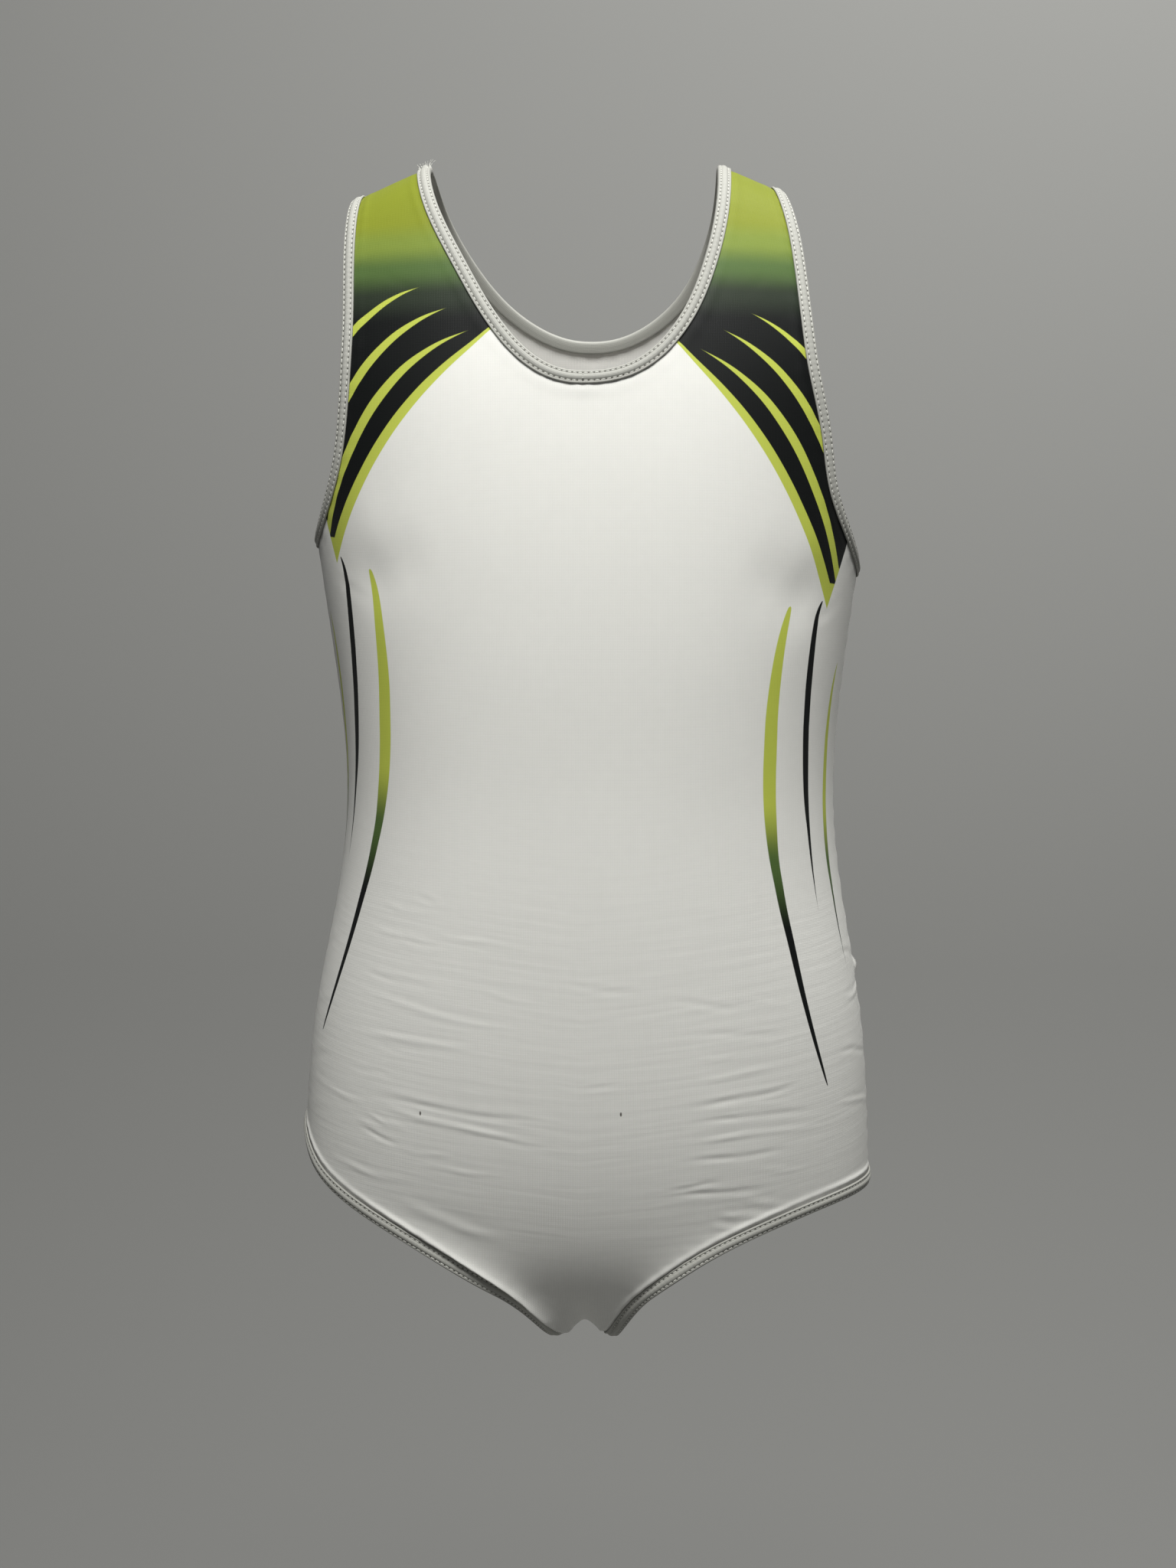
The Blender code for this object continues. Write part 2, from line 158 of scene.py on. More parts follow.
def cloth(places):
    """Points in the middle of the cloth at places, an array of (turn, run)."""
    turn, run = places[..., TURN], np.mod(places[..., RUN], TOTAL_RUN)
    profile = smooth_curve(PROFILE_KNOTS, PROFILE_POINTS, run)
    depth, height = profile[..., 0], profile[..., 1]
    half_width, lean = half_width_and_lean(height)
    across, along = np.sin(turn), np.cos(turn)
    power = 2 / SQUARENESS
    x = half_width * np.sign(across) * np.abs(across) ** power
    y = depth * np.sign(along) * np.abs(along) ** power
    z = height - drop(np.abs(x), height)
    return np.stack((x + lean, y, z), axis=-1)


def outward(places):
    """Unit normals of the cloth at places."""
    step_turn = np.array((10 * NUDGE, 0.0))
    step_run = np.array((0.0, NUDGE))
    round_it = cloth(places + step_turn) - cloth(places - step_turn)
    along_it = cloth(places + step_run) - cloth(places - step_run)
    normal = np.cross(round_it, along_it)
    return normal / np.linalg.norm(normal, axis=-1, keepdims=True)


def place_on_cloth(half_x, height, panel):
    """The (turn, run) of a point given by its distance from the centre line and its height."""
    section = min(height, TOP)
    for _ in range(SETTLING_ROUNDS):
        section = min(height + float(drop(half_x, section)), TOP)
    front = FINE_RUNS <= RIDGE_RUN
    if panel == "front":
        run = np.interp(section, FINE_PROFILE[front, 1], FINE_RUNS[front])
    else:
        run = np.interp(section, FINE_PROFILE[~front, 1][::-1], FINE_RUNS[~front][::-1])
    if height >= RIDGE:
        run = RIDGE_RUN
    if height <= CROTCH:
        run = 0.0 if panel == "front" else TOTAL_RUN
    half_width = float(half_width_and_lean(section)[0])
    turn = math.asin(min(half_x / half_width, 1.0) ** (SQUARENESS / 2))
    return turn, run


# The openings' finished edges, where the cloth was cut and bound: distances from the
# centre line and heights, from the middle of the neck to the shoulder seam, from the side
# seam to the shoulder seam, and from the crotch seam to the side seam.

OUT = 1.0
STRAP_INNER = 0.0635
STRAP_OUTER = {"left": 0.0925, "right": 0.0986}
GUSSET_HALF_WIDTH = 0.0145
NECK_BACK = (
    (0.0000, -0.0660),
    (0.0220, -0.0610),
    (0.0400, -0.0480),
    (0.0530, -0.0300),
    (0.0605, -0.0130),
    (STRAP_INNER, RIDGE),
)
NECK_EDGE = {
    # half width, height
    ("left", "front"): (
        (0.0000, -0.0935),
        (0.0250, -0.0870),
        (0.0415, -0.0690),
        (0.0520, -0.0460),
        (0.0600, -0.0210),
        (STRAP_INNER, RIDGE),
    ),
    ("right", "front"): (
        (0.0000, -0.0935),
        (0.0200, -0.0870),
        (0.0362, -0.0690),
        (0.0488, -0.0460),
        (0.0590, -0.0210),
        (STRAP_INNER, RIDGE),
    ),
    ("left", "back"): NECK_BACK,
    ("right", "back"): NECK_BACK,
}
ARMHOLE_EDGE = {
    # distance out, height
    ("left", "front"): (
        (OUT, -0.1730),
        (0.1190, -0.1690),
        (0.1148, -0.1585),
        (0.1087, -0.1420),
        (0.1055, -0.1200),
        (0.1000, -0.0900),
        (0.0975, -0.0600),
        (0.0967, -0.0300),
        (STRAP_OUTER["left"], RIDGE),
    ),
    ("right", "front"): (
        (OUT, -0.1600),
        (0.1188, -0.1560),
        (0.1145, -0.1460),
        (0.1098, -0.1310),
        (0.1065, -0.1080),
        (0.1045, -0.0800),
        (0.1030, -0.0550),
        (0.1008, -0.0300),
        (STRAP_OUTER["right"], RIDGE),
    ),
    ("left", "back"): (
        (OUT, -0.1730),
        (0.1190, -0.1695),
        (0.1155, -0.1600),
        (0.1110, -0.1430),
        (0.1072, -0.1200),
        (0.1030, -0.0900),
        (0.0992, -0.0600),
        (0.0965, -0.0320),
        (STRAP_OUTER["left"], RIDGE),
    ),
    ("right", "back"): (
        (OUT, -0.1600),
        (0.1190, -0.1565),
        (0.1157, -0.1470),
        (0.1118, -0.1300),
        (0.1085, -0.1080),
        (0.1058, -0.0820),
        (0.1035, -0.0560),
        (0.1010, -0.0300),
        (STRAP_OUTER["right"], RIDGE),
    ),
}
LEG_EDGE = {
    # distance out, height
    ("left", "front"): (
        (GUSSET_HALF_WIDTH, CROTCH),
        (0.0245, -0.5050),
        (0.0408, -0.4885),
        (0.0578, -0.4770),
        (0.0800, -0.4665),
        (0.1060, -0.4580),
        (OUT, -0.4545),
    ),
    ("right", "front"): (
        (GUSSET_HALF_WIDTH, CROTCH),
        (0.0270, -0.5065),
        (0.0445, -0.4925),
        (0.0648, -0.4800),
        (0.0867, -0.4675),
        (0.1090, -0.4550),
        (0.1220, -0.4440),
        (OUT, -0.4300),
    ),
    ("left", "back"): (
        (GUSSET_HALF_WIDTH, CROTCH),
        (0.0290, -0.5120),
        (0.0500, -0.5020),
        (0.0760, -0.4900),
        (0.1020, -0.4740),
        (OUT, -0.4545),
    ),
    ("right", "back"): (
        (GUSSET_HALF_WIDTH, CROTCH),
        (0.0290, -0.5120),
        (0.0500, -0.5010),
        (0.0760, -0.4870),
        (0.1020, -0.4670),
        (OUT, -0.4300),
    ),
}
OPENINGS = {
    # edge, what mirrors the line at each end, the side that the cloth is on
    "neck": (NECK_EDGE, (TURN, RUN), -1),
    "armhole": (ARMHOLE_EDGE, (TURN, RUN), 1),
    "leg": (LEG_EDGE, (RUN, TURN), 1),
}
CLOTH_WALL = 0.0012
SEAM_GAP = 0.0003
BINDING_WALL = 0.0010
BINDING_GAP = 0.0003
BINDING_WIDTH = 0.0058
FOLD = BINDING_WALL + BINDING_GAP
# How finely lines are followed, and the small steps in turn and run that slopes are read by.
EDGE_STEPS = 900
LINE_STEPS = 60
TURN_STEP, RUN_STEP = 0.01, 0.001


def evenly(places, count):
    """Places at equal distances along a line that is given by many places."""
    distance = lengths_along(cloth(places))
    stops = np.linspace(0, distance[-1], count + 1)
    return np.stack([np.interp(stops, distance, places[:, k]) for k in (TURN, RUN)], axis=-1)


def edge_line(rows, panel, side, mirrored):
    """Many places along an opening's edge. At each end it crosses a seam or the centre
    line squarely, so the line is mirrored there in turn or in run."""
    places = np.array([place_on_cloth(x, z, panel) for x, z in rows])
    ghosts = 3
    first, last = places[1 : 1 + ghosts][::-1].copy(), places[-1 - ghosts : -1][::-1].copy()
    first[:, mirrored[0]] = 2 * places[0, mirrored[0]] - first[:, mirrored[0]]
    last[:, mirrored[1]] = 2 * places[-1, mirrored[1]] - last[:, mirrored[1]]
    longer = np.vstack((first, places, last))
    knots = lengths_along(cloth(longer))
    start, end = knots[ghosts], knots[ghosts + len(places) - 1]
    line = smooth_curve(knots, longer, np.linspace(start, end, EDGE_STEPS + 1))
    line[0], line[-1] = places[0], places[-1]
    line[:, TURN] *= side
    return line


def inset(line, distance, mirrored, inward):
    """The line moved into the cloth. inward is 1 where the cloth is on the left of the
    line as it is seen from outside, and -1 where it is on the right."""
    points, normals = cloth(line), outward(line)
    tangent = np.gradient(points, axis=0)
    move = inward * distance * np.cross(normals, tangent)
    move /= np.linalg.norm(tangent, axis=1, keepdims=True)
    steps = (np.array((TURN_STEP, 0.0)), np.array((0.0, RUN_STEP)))
    slopes = [(cloth(line + s) - cloth(line - s)) / (2 * s.max()) for s in steps]
    moved = line + np.einsum("nij,nj->ni", np.linalg.pinv(np.stack(slopes, axis=-1)), move)
    moved[0, mirrored[0]] = line[0, mirrored[0]]
    moved[-1, mirrored[1]] = line[-1, mirrored[1]]
    return moved


def opening(kind, panel, name, count):
    """Places along the raw edge of the cloth and along the inner line of its binding."""
    edge, mirrored, inward = OPENINGS[kind]
    side = SIDES[name]
    handed = inward * side * (1 if panel == "front" else -1)
    finished = evenly(edge_line(edge[name, panel], panel, side, mirrored), count)
    raw = inset(finished, FOLD, mirrored, handed)
    inner = inset(finished, BINDING_WIDTH, mirrored, handed)
    return raw, inner


def straight(start, end, count, first=1.0):
    """Places along a straight line of places. The first gap is that share of an even one,
    and the gaps grow from there."""
    share = np.linspace(0, 1, LINE_STEPS + 1)[:, None]
    line = evenly((1 - share) * start + share * end, count)
    even = np.linspace(0, 1, count + 1)
    stops = count * (first * even + (1 - first) * even**3)
    return np.stack([np.interp(stops, range(count + 1), line[:, k]) for k in (TURN, RUN)], axis=-1)


def patch(bottom, top, inner, outer):
    """A grid of places inside four lines of places, each row blended between them."""
    across = np.linspace(0, 1, len(bottom))[None, :, None]
    up = np.linspace(0, 1, len(inner))[:, None, None]
    rows = (1 - up) * bottom[None] + up * top[None]
    columns = (1 - across) * inner[:, None] + across * outer[:, None]
    low = (1 - across) * bottom[0] + across * bottom[-1]
    high = (1 - across) * top[0] + across * top[-1]
    return rows + columns - (1 - up) * low - up * high


# The two panels: each one cut piece of white polyester and elastane knit, printed on its
# outside and drawn tight round the body, so that it creases where the hips and the belly
# pull at it.

GUSSET_ROWS = 44
TRUNK_ROWS = 262
FIRST_ROW_GAP = 0.60
FIRST_COLUMN_GAP = 0.60
CHEST_ROWS = 42
STRAP_ROWS = 48
MIDDLE_COLUMNS = 26
OUTER_COLUMNS = 38
GUSSET_TOP_ON_CENTRE = -0.474
CHEST_BASE_ON_CENTRE = -0.176

# Soft creases, most over the hips and the belly, where the cloth is drawn sideways. Two
# wide, shallow ones are the hollows beside the chest.
CREASES = {
    # from (round the cloth, height), to (round, height), sag, width, depth (ridges below 0)
    "front": (
        (-0.0740, -0.3160, -0.0640, -0.3200, 0.0002, 0.0010, 0.00016),
        (-0.0930, -0.3210, -0.0640, -0.3250, 0.0004, 0.0011, -0.00014),
        (-0.1010, -0.3310, -0.0620, -0.3360, 0.0006, 0.0012, -0.00016),
        (-0.0640, -0.3330, -0.0330, -0.3355, 0.0003, 0.0011, -0.00018),
        (-0.0860, -0.3370, -0.0560, -0.3400, 0.0006, 0.0011, -0.00014),
        (-0.1060, -0.3500, -0.0620, -0.3565, 0.0006, 0.0012, 0.00014),
        (-0.1060, -0.3580, -0.0240, -0.3730, 0.0018, 0.0013, -0.00020),
        (-0.0480, -0.3550, -0.0180, -0.3610, 0.0004, 0.0011, -0.00012),
        (-0.1110, -0.3765, -0.0440, -0.3810, 0.0006, 0.0012, -0.00024),
        (-0.0980, -0.3820, -0.0640, -0.3840, 0.0004, 0.0011, 0.00014),
        (-0.1080, -0.3945, -0.0840, -0.3945, 0.0006, 0.0010, 0.00018),
        (-0.1390, -0.4025, -0.0850, -0.4090, 0.0016, 0.0011, -0.00020),
        (-0.1020, -0.4040, -0.0160, -0.4130, 0.0008, 0.0013, 0.00034),
        (-0.0910, -0.4090, -0.0200, -0.4215, 0.0010, 0.0014, -0.00036),
        (-0.0970, -0.4150, -0.0780, -0.4180, 0.0003, 0.0010, -0.00028),
        (-0.1030, -0.4200, -0.0790, -0.4260, 0.0007, 0.0010, 0.00032),
        (-0.1120, -0.4165, -0.0740, -0.4190, 0.0006, 0.0010, -0.00016),
        (-0.1220, -0.4350, -0.0740, -0.4420, 0.0024, 0.0013, -0.00022),
        (-0.0730, -0.4340, -0.0330, -0.4380, 0.0006, 0.0012, -0.00016),
        (-0.0840, -0.4510, -0.0280, -0.4700, 0.0012, 0.0024, -0.00032),
        (-0.0080, -0.3520, 0.0260, -0.3570, 0.0004, 0.0012, 0.00018),
        (-0.0030, -0.3965, 0.0190, -0.3970, 0.0003, 0.0010, 0.00014),
        (-0.0830, -0.4285, -0.0520, -0.4300, 0.0003, 0.0010, -0.00012),
        (-0.0470, -0.4190, -0.0120, -0.4250, 0.0006, 0.0012, 0.00014),
        (0.0340, -0.3585, 0.0720, -0.3645, 0.0006, 0.0012, 0.00018),
        (0.0630, -0.3580, 0.0940, -0.3645, 0.0008, 0.0010, -0.00010),
        (0.0440, -0.3740, 0.0940, -0.3765, 0.0004, 0.0012, 0.00016),
        (0.0470, -0.3860, 0.0690, -0.3840, 0.0003, 0.0011, -0.00012),
        (0.0470, -0.3950, 0.0880, -0.3900, 0.0006, 0.0012, -0.00016),
        (0.0430, -0.4060, 0.0990, -0.3985, 0.0014, 0.0012, 0.00034),
        (0.0480, -0.4080, 0.0980, -0.4060, 0.0004, 0.0010, -0.00014),
        (0.0440, -0.4145, 0.1080, -0.4130, -0.0022, 0.0011, 0.00028),
        (0.0400, -0.4230, 0.1120, -0.4190, -0.0010, 0.0012, -0.00024),
        (0.0400, -0.4320, 0.0960, -0.4285, -0.0008, 0.0012, 0.00032),
        (0.0660, -0.4350, 0.1040, -0.4395, -0.0006, 0.0011, -0.00014),
        (0.0350, -0.4450, 0.0630, -0.4410, -0.0006, 0.0012, 0.00026),
        (0.0330, -0.4485, 0.0840, -0.4465, -0.0020, 0.0013, 0.00034),
        (0.0660, -0.4470, 0.0940, -0.4550, 0.0004, 0.0013, -0.00036),
        (0.0590, -0.4555, 0.0880, -0.4595, 0.0004, 0.0016, -0.00044),
        (0.0550, -0.4610, 0.0780, -0.4645, 0.0002, 0.0016, -0.00034),
        (-0.0280, -0.4965, -0.0100, -0.5120, 0.0006, 0.0012, -0.00026),
        (-0.0230, -0.4905, -0.0080, -0.5070, 0.0006, 0.0013, -0.00016),
        (-0.1520, -0.3960, -0.1180, -0.3890, 0.0010, 0.0012, 0.00020),
        (-0.1560, -0.3700, -0.1210, -0.3630, 0.0010, 0.0012, -0.00018),
        (-0.1500, -0.3450, -0.1200, -0.3380, 0.0008, 0.0012, 0.00016),
        (-0.1550, -0.4180, -0.1220, -0.4110, 0.0010, 0.0012, -0.00020),
        (0.1200, -0.3880, 0.1580, -0.3940, -0.0010, 0.0012, 0.00020),
        (0.1280, -0.3660, 0.1590, -0.3610, 0.0012, 0.0012, -0.00030),
        (0.1250, -0.3440, 0.1560, -0.3520, -0.0010, 0.0012, 0.00022),
        (0.1180, -0.4100, 0.1590, -0.4170, -0.0010, 0.0012, -0.00020),
        (-0.1190, -0.1780, -0.0620, -0.1720, 0.0040, 0.0130, 0.00110),
        (0.0650, -0.1780, 0.1220, -0.1880, 0.0040, 0.0130, 0.00110),
        (-0.1240, -0.1760, -0.0960, -0.1900, 0.0010, 0.0020, 0.00014),
        (0.1290, -0.1870, 0.0980, -0.2010, -0.0010, 0.0020, 0.00014),
        (-0.0900, -0.0480, -0.0690, -0.0620, -0.0008, 0.0018, 0.00012),
        (-0.0880, -0.0330, -0.0720, -0.0390, -0.0006, 0.0016, 0.00008),
        (0.0860, -0.0500, 0.0660, -0.0630, 0.0008, 0.0018, 0.00010),
    ),
    "back": (
        (-0.1520, -0.3980, -0.0800, -0.4120, 0.0020, 0.0013, 0.00028),
        (-0.1500, -0.4060, -0.0700, -0.4200, 0.0022, 0.0012, -0.00024),
        (-0.1400, -0.4200, -0.0700, -0.4300, 0.0022, 0.0013, 0.00030),
        (-0.1240, -0.4430, -0.0560, -0.4540, 0.0020, 0.0014, 0.00030),
        (-0.1000, -0.4640, -0.0440, -0.4780, 0.0016, 0.0014, -0.00030),
        (-0.0740, -0.3700, -0.0100, -0.3640, 0.0016, 0.0016, 0.00018),
        (-0.1180, -0.3320, -0.0400, -0.3260, 0.0016, 0.0015, 0.00022),
        (-0.1050, -0.3180, -0.0300, -0.3120, 0.0016, 0.0014, -0.00018),
        (-0.0900, -0.3060, -0.0100, -0.3010, 0.0018, 0.0016, 0.00024),
        (-0.0700, -0.2840, 0.0200, -0.2790, 0.0020, 0.0018, 0.00024),
        (-0.0300, -0.2610, 0.0620, -0.2680, 0.0020, 0.0018, 0.00022),
        (-0.0100, -0.2950, 0.0800, -0.3010, 0.0018, 0.0016, -0.00022),
        (0.0300, -0.3180, 0.1080, -0.3240, 0.0016, 0.0015, 0.00022),
        (0.0700, -0.3440, 0.1300, -0.3560, 0.0014, 0.0014, -0.00020),
        (0.0460, -0.3860, 0.1280, -0.3900, 0.0018, 0.0013, 0.00026),
        (0.0760, -0.4140, 0.1520, -0.4040, 0.0022, 0.0013, 0.00030),
        (0.0700, -0.4260, 0.1440, -0.4180, 0.0022, 0.0012, -0.00024),
        (0.0600, -0.4420, 0.1360, -0.4330, 0.0022, 0.0013, 0.00030),
        (0.0500, -0.4620, 0.1120, -0.4550, 0.0018, 0.0014, -0.00030),
        (0.0360, -0.4800, 0.0860, -0.4760, 0.0014, 0.0015, 0.00028),
        (-0.1480, -0.3560, -0.1080, -0.3660, -0.0010, 0.0012, -0.00020),
        (0.1500, -0.3700, 0.1100, -0.3790, 0.0010, 0.0012, 0.00020),
        (-0.1300, -0.1800, -0.0900, -0.1980, 0.0014, 0.0020, 0.00018),
        (0.1320, -0.1900, 0.0920, -0.2080, -0.0014, 0.0020, 0.00018),
        (-0.0400, -0.0980, 0.0400, -0.0990, 0.0030, 0.0022, 0.00016),
        (-0.0550, -0.1200, 0.0200, -0.1240, 0.0020, 0.0024, 0.00014),
    ),
}
# How far a crease wavers, how high the ridge above it is (the one below is half that), and
# each ridge's distance and width, in widths of the crease.
CREASE_WAVER = 0.0004
RIDGE_BESIDE = 0.45
RIDGE_ABOVE = (1.7, 1.2)
RIDGE_BELOW = (1.8, 1.3)
EDGE_ROLL = {
    # how far the cloth swells beside each binding: height, distance, width
    "neck": (0.00022, 0.0030, 0.0016),
    "armhole": (0.00022, 0.0030, 0.0016),
    "leg": (0.00065, 0.0021, 0.0012),
}
# At the front the thigh pushes each leg edge forward, and a fold stands over its binding,
# high on the wearer's right: how far forward the fold's crest is, its distance from the
# binding, the widths of its steep side towards the binding and of its long side, and how
# far forward the binding's inner line and its fold are.
LEG_FOLD_HEIGHT = {"left": 0.0024, "right": 0.0054}
LEG_FOLD = (0.0016, 0.0007, 0.0070)
LEG_PUSH = (0.0016, 0.0048)
# Near the crotch the wearer's right fold hangs down over its binding: how far, where along
# the edge, over what length, and the width of its upper side.
LEG_HANG = (0.0034, 0.048, 0.018, 0.0045)
LEG_SHARES = (
    # distance along the edge from the crotch, share of the push and the fold
    (0.000, 0.00),
    (0.010, 0.42),
    (0.028, 0.78),
    (0.055, 0.95),
    (0.078, 1.00),
    (0.100, 0.62),
    (0.125, 0.22),
    (0.160, 0.06),
    (0.200, 0.00),
    (0.240, 0.00),
)
EDGE_ROLL_PITCH = 0.061
EDGE_PLACES = 300
# The puckers beside the bindings and the side seams: height, pitch, and how far they reach.
EDGE_PUCKER, EDGE_PUCKER_PITCH, EDGE_PUCKER_REACH = 0.00010, 0.0085, 0.006
SEAM_PUCKER, SEAM_PUCKER_PITCH, SEAM_PUCKER_REACH = 0.00022, 0.0115, 0.007
SEAM_DIP = 0.00040
SEAM_DIP_WIDTH = 0.0014
# About how far the side seams are from the middle of the body.
SIDE_RADIUS = 0.075
SHOULDER_ROLL = 0.0013
SHOULDER_ROLL_WIDTH = 0.0014
SHOULDER_ROLL_BEHIND = 0.0016
PINCH = (0.1625, -0.3560)
PINCH_HEIGHT = 0.0021
PINCH_SIZE = (0.0036, 0.0050)
# The dent's share of the pinch's height, and its place in sizes of the pinch.
PINCH_DENT = 0.45
PINCH_DENT_PLACE = (-0.6, -1.9)
SMOOTH_BESIDE_BINDING = 0.0045
# The grids are joined while they lie flat: metres for each radian of turn, and how near
# two corners are that become one.
FLAT_TURN = 0.1
FLAT_MERGE = 2e-6


def half_panel(panel, name):
    """The grids of places that cover one half of a panel, from the crotch to the strap."""
    neck_raw, neck = opening("neck", panel, name, MIDDLE_COLUMNS + STRAP_ROWS)
    arm_raw, arm = opening("armhole", panel, name, CHEST_ROWS + STRAP_ROWS)
    leg_raw, leg = opening("leg", panel, name, GUSSET_ROWS + OUTER_COLUMNS)
    columns = MIDDLE_COLUMNS + OUTER_COLUMNS
    gusset_top = np.array(place_on_cloth(0.0, GUSSET_TOP_ON_CENTRE, panel))
    chest_base = np.array(place_on_cloth(0.0, CHEST_BASE_ON_CENTRE, panel))
    crotch = np.array((0.0, leg[0, RUN]))
    crotch_row = straight(crotch, leg[0], MIDDLE_COLUMNS)
    gusset_row = straight(leg[GUSSET_ROWS], gusset_top, MIDDLE_COLUMNS, FIRST_COLUMN_GAP)[::-1]
    trunk_bottom = np.vstack((gusset_row, leg[GUSSET_ROWS + 1 :]))
    chest_row = straight(chest_base, arm[0], columns)
    strap_row = straight(neck[MIDDLE_COLUMNS], arm[CHEST_ROWS], OUTER_COLUMNS)
    shoulder_row = straight(neck[-1], arm[-1], OUTER_COLUMNS)
    chest_top = np.vstack((neck[: MIDDLE_COLUMNS + 1], strap_row[1:]))
    gusset_middle = straight(crotch, gusset_top, GUSSET_ROWS)
    trunk_middle = straight(gusset_top, chest_base, TRUNK_ROWS, FIRST_ROW_GAP)
    trunk_side = straight(leg[-1], arm[0], TRUNK_ROWS, FIRST_ROW_GAP)
    chest_middle = straight(chest_base, neck[0], CHEST_ROWS)
    return (
        patch(crotch_row, gusset_row, gusset_middle, leg[: GUSSET_ROWS + 1]),
        patch(trunk_bottom, chest_row, trunk_middle, trunk_side),
        patch(chest_row, chest_top, chest_middle, arm[: CHEST_ROWS + 1]),
        patch(strap_row, shoulder_row, neck[MIDDLE_COLUMNS:], arm[CHEST_ROWS:]),
        np.stack((neck_raw, neck)),
        np.stack((arm_raw, arm)),
        np.stack((leg_raw, leg)),
    )


ROUND_TURNS, ROUND_RUNS = 181, 601
LAST_CELL = 1.001


def distance_round():
    """A table of how far round the cloth each turn is, by run, and a reader for it."""
    turns = np.linspace(0, math.pi / 2, ROUND_TURNS)
    runs = np.linspace(0, TOTAL_RUN, ROUND_RUNS)
    points = cloth(np.stack(np.meshgrid(turns, runs), axis=-1))
    steps = np.linalg.norm(np.diff(points, axis=1), axis=2)
    table = np.concatenate((np.zeros((len(runs), 1)), np.cumsum(steps, axis=1)), axis=1)

    def read(places):
        column = np.clip(np.abs(places[..., TURN]) / turns[1], 0, len(turns) - LAST_CELL)
        row = np.clip(places[..., RUN] / runs[1], 0, len(runs) - LAST_CELL)
        i, j = row.astype(int), column.astype(int)
        down, right = row - i, column - j
        near = table[i, j] * (1 - right) + table[i, j + 1] * right
        far = table[i + 1, j] * (1 - right) + table[i + 1, j + 1] * right
        return np.sign(places[..., TURN]) * (near * (1 - down) + far * down)

    return read


round_the_cloth = distance_round()


def crease_lift(around, height, rows):
    """How far creases lift the cloth: each is a trough between two lower ridges, which
    tapers to both ends and is a little uneven along its length."""
    lift = np.zeros_like(around)
    for u0, z0, u1, z1, bow, width, depth in rows:
        length = math.hypot(u1 - u0, z1 - z0)
        du, dz = (u1 - u0) / length, (z1 - z0) / length
        along = ((around - u0) * du + (height - z0) * dz) / length
        inside = np.clip(along, 0, 1)
        middle = bow * 4 * inside * (1 - inside) + CREASE_WAVER * np.sin(9 * inside + 400 * z0)
        off = (height - z0) * du - (around - u0) * dz + middle
        taper = np.sin(math.pi * inside) ** 1.3 * (0.8 + 0.2 * np.sin(14 * inside + 90 * u0))
        trough = -np.exp(-((off / width) ** 2))
        above = np.exp(-(((off - RIDGE_ABOVE[0] * width) / (RIDGE_ABOVE[1] * width)) ** 2))
        below = np.exp(-(((off + RIDGE_BELOW[0] * width) / (RIDGE_BELOW[1] * width)) ** 2))
        lift += depth * taper * (trough + RIDGE_BESIDE * above + 0.5 * RIDGE_BESIDE * below)
    return lift


def nearest_on(line, points):
    """For each point, the index of the nearest point of a line and how far it is."""
    tree = KDTree(len(line))
    for i, point in enumerate(line):
        tree.insert(point, i)
    tree.balance()
    found = [tree.find(point)[1:] for point in points]
    return np.array([index for index, _ in found]), np.array([gap for _, gap in found])


def leg_share(where):
    along, shares = np.array(LEG_SHARES).T
    return smooth_curve(along, shares[:, None], np.minimum(where, along[-1]))[:, 0]


def leg_forward(where, distance, hidden, height):
    """How far forward the cloth stands, by distance along the leg binding and from it, and
    by whether it is hidden inside the binding. Where the fold is low, it is also short."""
    out, near, away = LEG_FOLD
    inner, raw = LEG_PUSH
    share = leg_share(where)
    in_binding = inner + (raw - inner) * distance / (BINDING_WIDTH - FOLD)
    steep = inner + (height - inner) * np.exp(-(((distance - out) / near) ** 2))
    long = height * np.exp((out - distance) / (away * (0.3 + 0.7 * share)))
    return share * np.where(hidden, in_binding, np.where(distance < out, steep, long))


def leg_hang(where, distance, hidden):
    """How far the fold hangs down, by distance along the leg binding and from it."""
    low, middle, reach, away = LEG_HANG
    out, near, _ = LEG_FOLD
    share = np.exp(-(((where - middle) / reach) ** 2))
    steep = np.exp(-(((distance - out) / near) ** 2))
    long = np.exp(-(((distance - out) / away) ** 2))
    return low * share * np.where(hidden, 0.0, np.where(distance < out, steep, long))


def edge_lift(points, panel):
    """The swell and fine puckers of the cloth beside each binding, how far forward and
    down it stands there, and how far each point is from the nearest binding."""
    lift, forward, down = (np.zeros(len(points)) for _ in range(3))
    nearest = np.full(len(points), 1.0)
    for kind in OPENINGS:
        swell, out, width = EDGE_ROLL[kind]
        for name in SIDES:
            raw, inner = (cloth(line) for line in opening(kind, panel, name, EDGE_PLACES))
            index, distance = nearest_on(inner, points)
            where = lengths_along(inner)[index]
            uneven = 0.75 + 0.25 * np.sin(2 * math.pi * where / EDGE_ROLL_PITCH + 1.3)
            lift += swell * uneven * np.exp(-(((distance - out) / width) ** 2))
            if (kind, panel) == ("leg", "front"):
                hidden = nearest_on(raw, points)[1] < np.linalg.norm(raw - inner, axis=1)[index]
                forward += leg_forward(where, distance, hidden, LEG_FOLD_HEIGHT[name])
                if name == "right":
                    down = leg_hang(where, distance, hidden)
            wave = np.sin(2 * math.pi * where / EDGE_PUCKER_PITCH + 2.0 * np.sin(70 * where))
            lift += EDGE_PUCKER * wave * np.exp(-((distance / EDGE_PUCKER_REACH) ** 2))
            nearest = np.minimum(nearest, distance)
    return lift, forward, down, nearest


